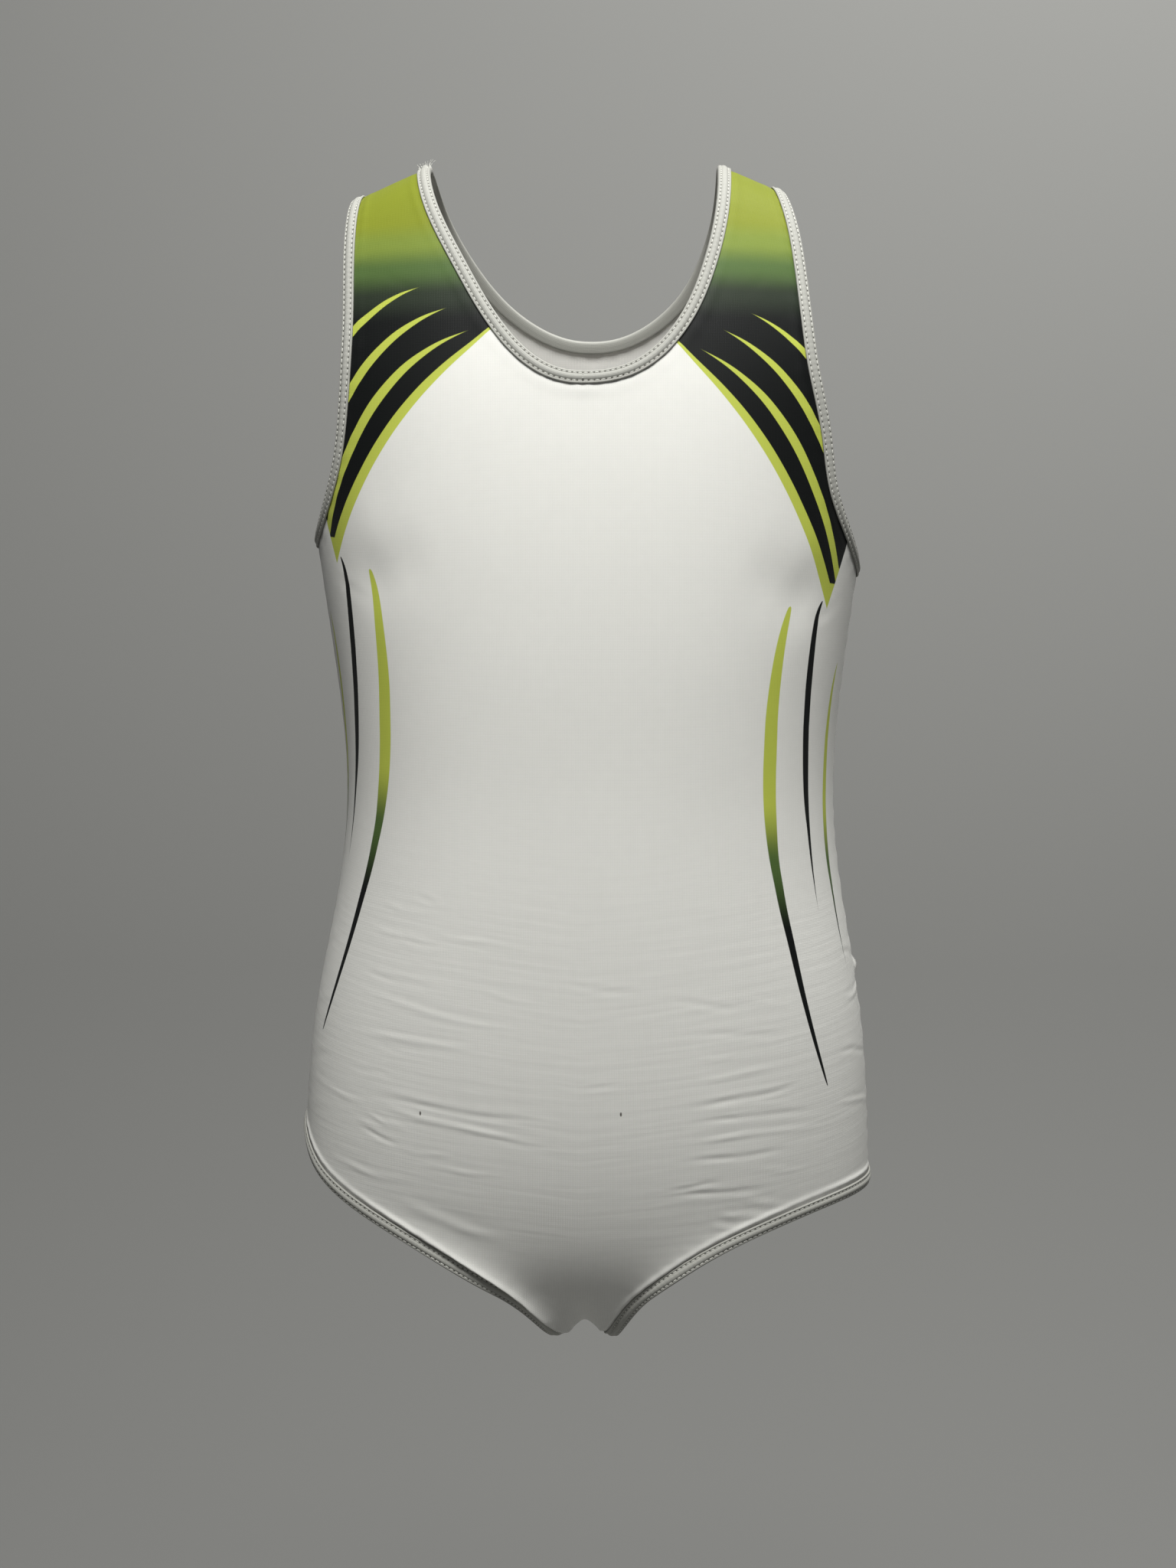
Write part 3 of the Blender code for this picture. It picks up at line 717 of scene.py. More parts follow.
def seam_lift(places, around, height):
    """The dip of the cloth into each seam, the small puckers along the side seams, and
    the roll of the shoulder seam, whose edges are pressed to the back."""
    to_side = (math.pi / 2 - np.abs(places[:, TURN])) * SIDE_RADIUS
    to_shoulder = np.abs(places[:, RUN] - RIDGE_RUN)
    to_crotch = np.minimum(places[:, RUN], TOTAL_RUN - places[:, RUN])
    to_seam = np.minimum(np.minimum(to_side, to_shoulder), to_crotch)
    dip = -SEAM_DIP * np.exp(-((to_seam / SEAM_DIP_WIDTH) ** 2))
    side = np.sign(around)
    phase = 2 * math.pi * height / SEAM_PUCKER_PITCH + 1.5 * np.sin(height * 90 + side)
    pucker = SEAM_PUCKER * np.sin(phase) * np.exp(-((to_side / SEAM_PUCKER_REACH) ** 2))
    behind = places[:, RUN] - RIDGE_RUN - SHOULDER_ROLL_BEHIND
    roll = SHOULDER_ROLL * np.exp(-((behind / SHOULDER_ROLL_WIDTH) ** 2))
    return dip + pucker + roll


def pinch_lift(around, height):
    """The small pinch in the wearer's left side seam, with a dent under it."""
    u, z = (around - PINCH[0]) / PINCH_SIZE[0], (height - PINCH[1]) / PINCH_SIZE[1]
    bump = np.exp(-(u**2) - z**2)
    dent = np.exp(-((u - PINCH_DENT_PLACE[0]) ** 2) / 3 - (z - PINCH_DENT_PLACE[1]) ** 2)
    return PINCH_HEIGHT * (bump - PINCH_DENT * dent)


def fill_cut_map(mesh, cut):
    """Writes each corner's place on the cut to the UV map that the knit goes by."""
    cut_map = mesh.loops.layers.uv.new("cut")
    for face in mesh.faces:
        for loop in face.loops:
            loop[cut_map].uv = loop.vert[cut][:2]


def add_grid(mesh, rows, columns):
    """Adds a flat grid of quads and returns its corners, row by row."""
    made = bmesh.ops.create_grid(mesh, x_segments=columns - 1, y_segments=rows - 1, size=1)
    return made["verts"]


def link(name, mesh, material, sharp=None):
    """Makes a finished piece of the garment from a bmesh."""
    data = bpy.data.meshes.new(name)
    mesh.to_mesh(data)
    mesh.free()
    data.shade_smooth()
    if sharp is not None:
        data.set_sharp_from_angle(angle=math.radians(sharp))
    data.materials.append(material)
    piece = bpy.data.objects.new(name, data)
    bpy.context.scene.collection.objects.link(piece)
    return piece


def make_panel(name, panel, material):
    """One cut piece: a grid on the middle of the cloth, creased, then thickened both
    ways. Its UV map is the cut in metres: distance round the cloth, and height."""
    mesh = bmesh.new()
    where = mesh.verts.layers.float_vector.new("place")
    normal_layer = mesh.verts.layers.float_vector.new("outward")
    cut = mesh.verts.layers.float_vector.new("cut_place")
    faced = mesh.verts.layers.float.new("outside")
    for side in SIDES:
        for grid in half_panel(panel, side):
            corners = add_grid(mesh, *grid.shape[:2])
            for corner, (turn, run) in zip(corners, grid.reshape(-1, 2)):
                corner.co = (turn * FLAT_TURN, run, 0)
                corner[where] = (turn, run, 0)
    bmesh.ops.remove_doubles(mesh, verts=mesh.verts, dist=FLAT_MERGE)
    inside = mesh.verts[:]
    places = np.array([tuple(corner[where])[:2] for corner in inside])
    points, normals = cloth(places), outward(places)
    around, height = round_the_cloth(places), points[:, 2]
    beside, forward, down, nearest = edge_lift(points, panel)
    lift = crease_lift(around, height, CREASES[panel]) + seam_lift(places, around, height)
    lift += pinch_lift(around, height)
    lift *= 1 - np.exp(-((nearest / SMOOTH_BESIDE_BINDING) ** 2))
    points = points + normals * (lift + beside)[:, None]
    points[:, 1] -= forward
    points[:, 2] -= down
    for i, corner in enumerate(inside):
        corner.co = points[i]
        corner[normal_layer] = normals[i]
        corner[cut] = (around[i], height[i], 0)
    copied = bmesh.ops.extrude_face_region(mesh, geom=mesh.faces[:], use_keep_orig=True)
    outside = [item for item in copied["geom"] if isinstance(item, bmesh.types.BMVert)]
    facing = -1 if panel == "front" else 1
    for corners, way in ((inside, -1), (outside, 1)):
        for corner in corners:
            corner.co += corner[normal_layer] * (way * CLOTH_WALL / 2)
            corner.co.y = facing * max(facing * corner.co.y, SEAM_GAP / 2)
            corner[faced] = (way + 1) / 2
    bmesh.ops.recalc_face_normals(mesh, faces=mesh.faces)
    fill_cut_map(mesh, cut)
    return link(name, mesh, material)


class Knots:
    """Short ways to add nodes to one tree. Each returns what the new node puts out, but
    for add, which returns the node."""

    def __init__(self, tree):
        self.tree = tree

    def add(self, kind, *values, **settings):
        node = self.tree.nodes.new(kind)
        for key, value in settings.items():
            setattr(node, key, value)
        for i, value in enumerate(values):
            self.feed(node.inputs[i], value)
        return node

    def feed(self, socket, value):
        if isinstance(value, bpy.types.NodeSocket):
            self.tree.links.new(value, socket)
        elif value is not None:
            socket.default_value = value

    def math(self, operation, *values):
        return self.add("ShaderNodeMath", *values, operation=operation).outputs[0]

    def step(self, value, low, high):
        """Rises smoothly from 0 to 1 as the value goes from low to high."""
        node = self.add("ShaderNodeMapRange", value, low, high, interpolation_type="SMOOTHSTEP")
        return node.outputs[0]

    def line(self, value, low, high, start, end):
        return self.add("ShaderNodeMapRange", value, low, high, start, end).outputs[0]

    def curve(self, value, points):
        """Reads a smooth curve through (value, result) points."""
        low, high = points[0][0], points[-1][0]
        results = [result for _, result in points]
        base, top = min(results), max(results)
        node = self.add("ShaderNodeFloatCurve", None, self.line(value, low, high, 0.0, 1.0))
        drawn = node.mapping.curves[0].points
        while len(drawn) < len(points):
            drawn.new(0.5, 0.5)
        for i, (at, result) in enumerate(points):
            drawn[i].location = ((at - low) / (high - low), (result - base) / (top - base))
        node.mapping.update()
        return self.line(node.outputs[0], 0.0, 1.0, base, top)

    def fill(self, kind, given, **settings):
        """Adds a node whose inputs are given by their names, and returns its outputs."""
        node = self.add(kind, **settings)
        for title, value in given.items():
            self.feed(node.inputs[title], value)
        return node.outputs

    def blend(self, share, first, second, blend_type="MIX"):
        given = {"Factor": share, "A": first, "B": second}
        return self.fill("ShaderNodeMix", given, data_type="RGBA", blend_type=blend_type)["Result"]

    def bump(self, height, strength, distance, normal=None):
        given = {"Height": height, "Strength": strength, "Distance": distance, "Normal": normal}
        return self.fill("ShaderNodeBump", given)["Normal"]

    def group(self, tree, given):
        return self.fill("ShaderNodeGroup", given, node_tree=tree)


def new_material(name, roughness):
    """A material with its Principled shader, and its tree ready for nodes."""
    material = bpy.data.materials.new(name)
    material.use_nodes = True
    shader = material.node_tree.nodes["Principled BSDF"]
    shader.inputs["Roughness"].default_value = roughness
    return material, shader, Knots(material.node_tree)


def new_group(name, inputs, outputs):
    """A shader node group with its sockets, and its tree ready for nodes."""
    tree = bpy.data.node_groups.new(name, "ShaderNodeTree")
    for title, kind in inputs:
        tree.interface.new_socket(title, in_out="INPUT", socket_type=kind)
    for title, kind in outputs:
        tree.interface.new_socket(title, in_out="OUTPUT", socket_type=kind)
    return tree, Knots(tree), tree.nodes.new("NodeGroupInput"), tree.nodes.new("NodeGroupOutput")


FLOAT, VECTOR = "NodeSocketFloat", "NodeSocketVector"
RIB_SHARE, LOOP_SHARE = 0.7, 0.3
# The knit's painted shade: its colour factor at the bottom of the valleys and at the tops of the
# loops.
KNIT_SHADE = (0.90, 1.03)
BROAD_MOTTLE, FINE_MOTTLE = (22.0, 2.0), (260.0, 3.0)
# The drag lines' sag towards the middle, how much they change along their length, and the
# levels between which they come and go.
DRAG_SAG = 0.12
DRAG_CHANGE = 26.0
DRAG_TOP = (-0.270, -0.350)
DRAG_BOTTOM = (-0.500, -0.460)


def jersey_group():
    """Fine knit: wales side by side along the first axis of Place, each a column of V
    stitches along the second. Shade is painted shade: slightly below 1 in the valleys,
    and just above 1 on the tops of the loops."""
    tree, knots, given, result = new_group(
        "jersey_knit",
        (("Place", VECTOR), ("Wale pitch", FLOAT), ("Course pitch", FLOAT)),
        (("Height", FLOAT), ("Shade", FLOAT)),
    )
    axes = knots.add("ShaderNodeSeparateXYZ", given.outputs["Place"]).outputs
    wale = knots.math("DIVIDE", axes[0], given.outputs["Wale pitch"])
    course = knots.math("DIVIDE", axes[1], given.outputs["Course pitch"])
    off = knots.math("ABSOLUTE", knots.math("SUBTRACT", knots.math("FRACT", wale), 0.5))
    rib = knots.math("SUBTRACT", 1.0, knots.math("POWER", knots.math("MULTIPLY", off, 2.0), 2.0))
    slanted = knots.math("MULTIPLY", knots.math("ADD", course, off), 2 * math.pi)
    loops = knots.math("MULTIPLY", knots.math("SINE", slanted), LOOP_SHARE)
    height = knots.math("ADD", knots.math("MULTIPLY", rib, RIB_SHARE), loops)
    tree.links.new(height, result.inputs["Height"])
    shade = knots.line(height, -LOOP_SHARE, 1.0, *KNIT_SHADE)
    tree.links.new(shade, result.inputs["Shade"])
    return tree


def mottle_group():
    """Slow, faint changes of tone over the cloth, from dyeing and handling."""
    tree, knots, given, result = new_group(
        "cloth_mottle", (("Place", VECTOR), ("Amount", FLOAT)), (("Tone", FLOAT),)
    )
    place = given.outputs["Place"]
    broad = knots.add("ShaderNodeTexNoise", place, None, *BROAD_MOTTLE)
    fine = knots.add("ShaderNodeTexNoise", place, None, *FINE_MOTTLE)
    both = knots.math("ADD", broad.outputs[0], fine.outputs[0])
    centred = knots.math("SUBTRACT", both, 1.0)
    tone = knots.math("MULTIPLY_ADD", centred, given.outputs["Amount"], 1.0)
    tree.links.new(tone, result.inputs["Tone"])
    return tree


def drag_group():
    """Fine lines along which the cloth is dragged sideways over the hips and the belly,
    lower at the middle than at the sides. Place is the place on the cut."""
    tree, knots, given, result = new_group(
        "drag_lines", (("Place", VECTOR), ("Spacing", FLOAT)), (("Height", FLOAT),)
    )
    axes = knots.add("ShaderNodeSeparateXYZ", given.outputs["Place"]).outputs
    sag = knots.math("MULTIPLY", knots.math("ABSOLUTE", axes[0]), DRAG_SAG)
    level = knots.math("DIVIDE", knots.math("SUBTRACT", axes[1], sag), given.outputs["Spacing"])
    round_it = knots.math("MULTIPLY", axes[0], DRAG_CHANGE)
    where = knots.add("ShaderNodeCombineXYZ", round_it, level, 0.0).outputs[0]
    lines = knots.add("ShaderNodeTexNoise", where, None, 1.0, 1.0).outputs[0]
    top, bottom = knots.step(axes[1], *DRAG_TOP), knots.step(axes[1], *DRAG_BOTTOM)
    shown = knots.math("MULTIPLY", knots.math("MULTIPLY", top, bottom), lines)
    tree.links.new(shown, result.inputs["Height"])
    return tree


JERSEY, MOTTLE, DRAG = jersey_group(), mottle_group(), drag_group()
DRAG_SPACING = 0.0030
DRAG_DEPTH = 0.00022
WALE_PITCH = 0.00075
COURSE_PITCH = 0.00060
KNIT_DEPTH = 0.00007
KNIT_BUMP = 0.6
DRAG_BUMP = 0.5
MOTTLE_AMOUNT = 0.05
KNIT_GLOSS = 0.16
KNIT_SHEEN = 0.03
KNIT_SHEEN_ROUGHNESS = 0.45
PRINTED_ROUGHNESS = 0.54
WHITE = (0.775, 0.772, 0.738, 1.0)
UNPRINTED = (0.760, 0.750, 0.720, 1.0)
LIME = (0.205, 0.238, 0.022, 1.0)
BRIGHT_LIME = (0.490, 0.550, 0.085, 1.0)
MID_GREEN = (0.180, 0.240, 0.040, 1.0)
GREEN = (0.075, 0.130, 0.036, 1.0)
DARK_GREEN = (0.022, 0.031, 0.019, 1.0)
BLACK = (0.005, 0.006, 0.006, 1.0)
SPECK = (0.120, 0.110, 0.100, 1.0)


def knit_material(name, roughness):
    """A stretch knit's shader, with its knots, its place on the cut, its bump, and its tone: painted
    shade in the knit's valleys times a faint mottle.
    """
    material, shader, knots = new_material(name, roughness)
    shader.inputs["Specular IOR Level"].default_value = KNIT_GLOSS
    shader.inputs["Sheen Weight"].default_value = KNIT_SHEEN
    shader.inputs["Sheen Roughness"].default_value = KNIT_SHEEN_ROUGHNESS
    place = knots.add("ShaderNodeUVMap", uv_map="cut").outputs[0]
    pitches = {"Wale pitch": WALE_PITCH, "Course pitch": COURSE_PITCH}
    jersey = knots.group(JERSEY, {"Place": place, **pitches})
    bump = knots.bump(jersey["Height"], KNIT_BUMP, KNIT_DEPTH)
    knots.feed(shader.inputs["Normal"], bump)
    on_piece = knots.add("ShaderNodeTexCoord").outputs["Object"]
    mottle = knots.group(MOTTLE, {"Place": on_piece, "Amount": MOTTLE_AMOUNT})
    # Painted shade in the knit's valleys, times the mottle.
    tone = knots.math("MULTIPLY", jersey["Shade"], mottle["Tone"])
    return material, shader, knots, place, bump, tone


# The print lies a little askew on the body, lower and further in on the wearer's left.
PRINT_SKEW = 0.085
PRINT_SHIFT = -0.0029
PRINT_LEAN = -0.030
PRINT_EDGE = 0.00040
YOKE_EDGE = {
    # distance from the print's middle, height of the yoke's lower edge
    "front": (
        (0.020, -0.0640),
        (0.036, -0.0760),
        (0.048, -0.0875),
        (0.061, -0.1005),
        (0.075, -0.1165),
        (0.088, -0.1340),
        (0.100, -0.1530),
        (0.118, -0.1850),
    ),
    "back": (
        (0.020, -0.0560),
        (0.040, -0.0640),
        (0.060, -0.0790),
        (0.080, -0.1000),
        (0.096, -0.1240),
        (0.108, -0.1500),
        (0.118, -0.1800),
    ),
}
YOKE_BAND = ((0.020, 0.0006), (0.040, 0.0020), (0.070, 0.0060), (0.100, 0.0096), (0.118, 0.0130))
YOKE_TIP = (0.1175, -0.1830)
YOKE_TIP_SPREAD = 0.42
YOKE_BLADES = (
    # middle line and half width, by distance from the print's middle
    (
        ((0.048, -0.0795), (0.068, -0.0905), (0.086, -0.1070), (0.104, -0.1320), (0.124, -0.1700)),
        ((0.048, 0.0), (0.068, 0.0016), (0.086, 0.0032), (0.104, 0.0044), (0.124, 0.0050)),
    ),
    (
        ((0.058, -0.0705), (0.074, -0.0785), (0.089, -0.0905), (0.104, -0.1085), (0.124, -0.1400)),
        ((0.058, 0.0), (0.074, 0.0014), (0.089, 0.0026), (0.104, 0.0036), (0.124, 0.0040)),
    ),
    (
        ((0.070, -0.0620), (0.082, -0.0670), (0.094, -0.0750), (0.106, -0.0860), (0.124, -0.1100)),
        ((0.070, 0.0), (0.082, 0.0010), (0.094, 0.0019), (0.106, 0.0026), (0.124, 0.0030)),
    ),
)
SIDE_STRIPES = (
    # middle line and half width, by level, and whether it fades from lime to black
    (
        ((-0.393, 0.1228), (-0.358, 0.1095), (-0.331, 0.1010), (-0.307, 0.0940),
         (-0.284, 0.0893), (-0.255, 0.0872), (-0.215, 0.0885), (-0.184, 0.0950)),
        ((-0.393, 0.0), (-0.386, 0.0009), (-0.350, 0.0017), (-0.300, 0.0026), (-0.260, 0.0036),
         (-0.225, 0.0032), (-0.184, 0.0)),
        True,
    ),
    (
        ((-0.320, 0.1190), (-0.283, 0.1122), (-0.254, 0.1088), (-0.220, 0.1078), (-0.180, 0.1140)),
        ((-0.320, 0.0), (-0.283, 0.0012), (-0.250, 0.0022), (-0.215, 0.0022), (-0.180, 0.0)),
        False,
    ),
    (
        ((-0.346, 0.1440), (-0.310, 0.1330), (-0.275, 0.1270), (-0.240, 0.1265), (-0.205, 0.1330)),
        ((-0.346, 0.0), (-0.310, 0.0011), (-0.270, 0.0022), (-0.235, 0.0018), (-0.205, 0.0)),
        True,
    ),
)
OMBRE = (
    # height, colour
    (-0.072, BLACK),
    (-0.060, DARK_GREEN),
    (-0.048, GREEN),
    (-0.037, MID_GREEN),
    (-0.026, LIME),
)
STRIPE_FADE = ((-0.325, BLACK), (-0.295, GREEN), (-0.268, BRIGHT_LIME))
SPECKS = ((-0.0707, -0.4114), (0.0172, -0.4092))
SPECK_SIZE = (0.00045, 0.0010)
SPECK_RIM = (1.2, 0.5)
OUTSIDE_RIM = (0.4, 0.6)


def printed_material(name, panel):
    """White knit with the printed yoke, and on the front the blades and side stripes.
    The inside of the cloth isn't printed."""
    material, shader, knots, place, bump, tone = knit_material(name, PRINTED_ROUGHNESS)
    drag = knots.group(DRAG, {"Place": place, "Spacing": DRAG_SPACING})
    dragged = knots.bump(drag["Height"], DRAG_BUMP, DRAG_DEPTH, bump)
    knots.feed(shader.inputs["Normal"], dragged)
    axes = knots.add("ShaderNodeSeparateXYZ", place).outputs
    around, height = axes[0], axes[1]
    shift = knots.math("MULTIPLY_ADD", height, PRINT_LEAN, PRINT_SHIFT)
    off = knots.math("ABSOLUTE", knots.math("ADD", around, shift))
    level = knots.math("MULTIPLY_ADD", around, PRINT_SKEW, height)

    def inside(distance):
        return knots.step(distance, 0.0, PRINT_EDGE)

    def tapered(across, along, middle, half_widths):
        gap = knots.math("ABSOLUTE", knots.math("SUBTRACT", across, knots.curve(along, middle)))
        return inside(knots.math("SUBTRACT", knots.curve(along, half_widths), gap))

    def fading(value, stops):
        low, high = stops[0][0], stops[-1][0]
        ramp = knots.add("ShaderNodeValToRGB", knots.line(value, low, high, 0, 1))
        ramp.color_ramp.interpolation = "EASE"
        for at, colour in stops[1:-1]:
            ramp.color_ramp.elements.new((at - low) / (high - low)).color = colour
        ramp.color_ramp.elements[0].color = stops[0][1]
        ramp.color_ramp.elements[-1].color = stops[-1][1]
        return ramp.outputs[0]

    above = knots.math("SUBTRACT", level, knots.curve(off, YOKE_EDGE[panel]))
    tip_start = YOKE_TIP[0] - YOKE_TIP_SPREAD * YOKE_TIP[1]
    tip_line = knots.math("MULTIPLY_ADD", level, YOKE_TIP_SPREAD, tip_start)
    yoke = knots.math("MINIMUM", inside(above), inside(knots.math("SUBTRACT", tip_line, off)))
    band = inside(knots.math("SUBTRACT", knots.curve(off, YOKE_BAND), above))
    colour = knots.blend(band, fading(height, OMBRE), BRIGHT_LIME)
    if panel == "front":
        for middle, half_widths in YOKE_BLADES:
            colour = knots.blend(tapered(level, off, middle, half_widths), colour, BRIGHT_LIME)
    colour = knots.blend(yoke, WHITE, colour)
    if panel == "front":
        fade = fading(level, STRIPE_FADE)
        for middle, half_widths, fades in SIDE_STRIPES:
            ink = fade if fades else BLACK
            colour = knots.blend(tapered(off, level, middle, half_widths), colour, ink)
        for speck in SPECKS:
            squares = []
            for value, middle, size in zip((around, height), speck, SPECK_SIZE):
                share = knots.math("DIVIDE", knots.math("SUBTRACT", value, middle), size)
                squares.append(knots.math("POWER", share, 2.0))
            away = knots.math("ADD", *squares)
            colour = knots.blend(knots.step(away, *SPECK_RIM), colour, SPECK)
    outside = knots.add("ShaderNodeAttribute", attribute_name="outside").outputs["Fac"]
    colour = knots.blend(knots.step(outside, *OUTSIDE_RIM), UNPRINTED, colour)
    # The print is multiplied by the knit's painted valley shade and the mottle.
    knots.feed(shader.inputs["Base Color"], knots.blend(1.0, colour, tone, "MULTIPLY"))
    return material


front_panel = make_panel("leotard_front", "front", printed_material("printed_front_knit", "front"))
back_panel = make_panel("leotard_back", "back", printed_material("printed_back_knit", "back"))
for piece, node in ((front_panel, "front_panel"), (back_panel, "back_panel")):
    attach(piece, "root")
    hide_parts(node)


# The bindings: strips of the same knit, folded over the raw edges of the neck, the
# armholes and the legs. The folded strip swells between its two rows of stitches, and
# its edge stands off the cloth enough to throw a thin shadow; painted shade darkens that
# edge, the stitch grooves and the needle holes further.

BINDING_STEP = 0.00045
STITCH_PITCH = 0.0024
FIRST_ROW = 0.00125
SECOND_ROW = 0.00455
PIT_DEPTH = 0.00034
PIT_SIZE = 0.00034
PIT_SHARPNESS = 6
# Between its rows of stitches the strip swells most halfway between two stitches: how
# much, how far from the inner line, and over what width.
PUFF, PUFF_PLACE, PUFF_WIDTH = 0.00007, 0.0029, 0.0009
# How strongly painted shade darkens the strip at its inner edge and in its stitch grooves.
PAINTED_GROOVE_SHADE = 0.6
FOLD_SHARP_FROM = 70
RING_MERGE = 1e-6
BINDING_SECTION = (
    # from the inner line towards the fold, off the middle of the cloth, painted shade at the strip's
    # inner edge and in its stitch grooves
    (0.00000, 0.00092, 0.9),
    (0.00000, 0.00120, 0.5),
    (0.00015, 0.00152, 0.0),
    (0.00050, 0.00170, 0.0),
    (0.00085, 0.00156, 0.1),
    (0.00125, 0.00134, 0.5),
    (0.00160, 0.00156, 0.1),
    (0.00205, 0.00186, 0.0),
    (0.00275, 0.00202, 0.0),
    (0.00345, 0.00194, 0.0),
    (0.00400, 0.00172, 0.0),
    (0.00430, 0.00150, 0.2),
    (0.00455, 0.00136, 0.5),
    (0.00480, 0.00146, 0.2),
    (0.00515, 0.00150, 0.0),
    (0.00550, 0.00122, 0.0),
    (0.00575, 0.00072, 0.0),
    (0.00580, 0.00000, 0.0),
    (0.00570, -0.00080, 0.0),
    (0.00535, -0.00135, 0.0),
    (0.00455, -0.00150, 0.0),
    (0.00280, -0.00182, 0.0),
    (0.00125, -0.00150, 0.0),
    (0.00040, -0.00160, 0.0),
    (0.00000, -0.00125, 0.0),
    (0.00000, -0.00092, 0.0),
    (0.00480, -0.00091, 0.0),
    (0.00480, 0.00091, 0.0),
)
# The strip's white is painted at about half the panels' white: its own warm off-white, with painted
# shade on top that keeps the strip darker than the cloth.
SHADED_BINDING_WHITE = (0.400, 0.400, 0.370, 1.0)
# BINDING_SHADE is the colour of the painted shade in the strip's grooves, needle holes and inner
# edge.
BINDING_SHADE = (0.110, 0.105, 0.092, 1.0)
BINDING_ROUGHNESS = 0.56
# The neck binding's two cut ends stand up at the wearer's right shoulder seam.
CUT_ENDS = (-0.0016, 0.0019)
CUT_END_LIFT = 0.0017
CUT_END_LENGTH = 0.0016


def ring_stations(kind, stretches):
    """Places of the raw edge and the inner line all the way round one opening. Each
    stretch is (panel, wearer's side, way), with way -1 where it is gone along backwards."""
    raw, inner = [], []
    for panel, name, way in stretches:
        length = lengths_along(cloth(opening(kind, panel, name, LINE_STEPS)[1]))[-1]
        stretch = opening(kind, panel, name, round(length / BINDING_STEP))
        raw.append(stretch[0][::way][:-1])
        inner.append(stretch[1][::way][:-1])
    raw.append(raw[0][:1])
    inner.append(inner[0][:1])
    return np.vstack(raw), np.vstack(inner)


class Edge:
    """One bound opening: its stations and the frames that place things on its binding."""

    def __init__(self, kind, stretches):
        raw, inner = ring_stations(kind, stretches)
        self.inner, self.raw = cloth(inner), cloth(raw)
        self.inner_normals, self.raw_normals = outward(inner), outward(raw)
        if kind == "leg":
            share = leg_share(lengths_along(self.inner))
            self.inner[:, 1] -= LEG_PUSH[0] * share
            self.raw[:, 1] -= LEG_PUSH[1] * share
            out = self.raw - self.inner
            out /= np.linalg.norm(out, axis=1, keepdims=True)
            for normals in (self.inner_normals, self.raw_normals):
                normals -= out * np.sum(out * normals, axis=1, keepdims=True)
                normals /= np.linalg.norm(normals, axis=1, keepdims=True)
        self.along = lengths_along((self.inner + self.raw) / 2)
        out = self.raw - self.inner
        out -= self.raw_normals * np.sum(out * self.raw_normals, axis=1, keepdims=True)
        self.out = out / np.linalg.norm(out, axis=1, keepdims=True)
        self.stitches = round(self.along[-1] / STITCH_PITCH)
        self.pitch = self.along[-1] / self.stitches

    def point(self, line, distance):
        """The point of a line of stations that lies at a distance along the binding."""
        where = distance % self.along[-1]
        return np.array([np.interp(where, self.along, line[:, k]) for k in range(3)])

    def right_shoulder(self):
        """How far along the binding the wearer's right shoulder seam crosses it."""
        return self.along[np.argmin(np.abs(self.inner[:, 1]) + 10 * (self.inner[:, 0] > 0))]

    def at(self, across, off):
        """Points at a distance from the inner line towards the fold, off the cloth."""
        share = min(across / (BINDING_WIDTH - FOLD), 1.0)
        past = max(across - (BINDING_WIDTH - FOLD), 0.0)
        base = (1 - share) * self.inner + share * self.raw
        normal = (1 - share) * self.inner_normals + share * self.raw_normals
        off = np.broadcast_to(off, len(base))[:, None]
        return base + past * self.out + off * normal


def pits(edge, across, off):
    """How far the rows of stitches move a line of the binding out, which is inwards where
    the needles went, and the painted shade they put in the needle holes."""
    if off < 0:
        return np.zeros_like(edge.along), np.zeros_like(edge.along)
    wave = 0.5 + 0.5 * np.cos(2 * math.pi * edge.along / edge.pitch)
    near = sum(math.exp(-(((across - row) / PIT_SIZE) ** 2)) for row in (FIRST_ROW, SECOND_ROW))
    # pit is painted shade in the needle holes; the dip it goes with is real.
    pit = near * wave**PIT_SHARPNESS
    between = math.exp(-(((across - PUFF_PLACE) / PUFF_WIDTH) ** 2))
    return PUFF * between * (1 - wave) - PIT_DEPTH * pit, pit


def make_binding(name, edge, material, lifted=()):
    """The folded strip of one opening, closed into a ring."""
    mesh = bmesh.new()
    shade = mesh.verts.layers.float.new("shade")
    cut = mesh.verts.layers.float_vector.new("cut_place")
    lines, shades = [], []
    raised = sum(CUT_END_LIFT * np.exp(-(((edge.along - at) / CUT_END_LENGTH) ** 2)) for at in lifted)
    for across, off, edge_and_groove_shade in BINDING_SECTION + BINDING_SECTION[:1]:
        moved, painted_pit_shade = pits(edge, across, off)
        lines.append(edge.at(across, off + moved + raised))
        # The strip's colour carries painted shade at its inner edge, in its grooves and in the needle
        # holes.
        shades.append(np.clip(edge_and_groove_shade * PAINTED_GROOVE_SHADE + painted_pit_shade, 0, 1))
    points, shades = np.stack(lines, axis=1), np.stack(shades, axis=1)
    rows, columns = points.shape[:2]
    across = lengths_along(points[0])
    for i, corner in enumerate(add_grid(mesh, rows, columns)):
        row, column = divmod(i, columns)
        corner.co = points[row, column]
        corner[shade] = shades[row, column]
        corner[cut] = (across[column], edge.along[row], 0)
    fill_cut_map(mesh, cut)
    bmesh.ops.remove_doubles(mesh, verts=mesh.verts, dist=RING_MERGE)
    bmesh.ops.recalc_face_normals(mesh, faces=mesh.faces)
    return link(name, mesh, material, sharp=FOLD_SHARP_FROM)


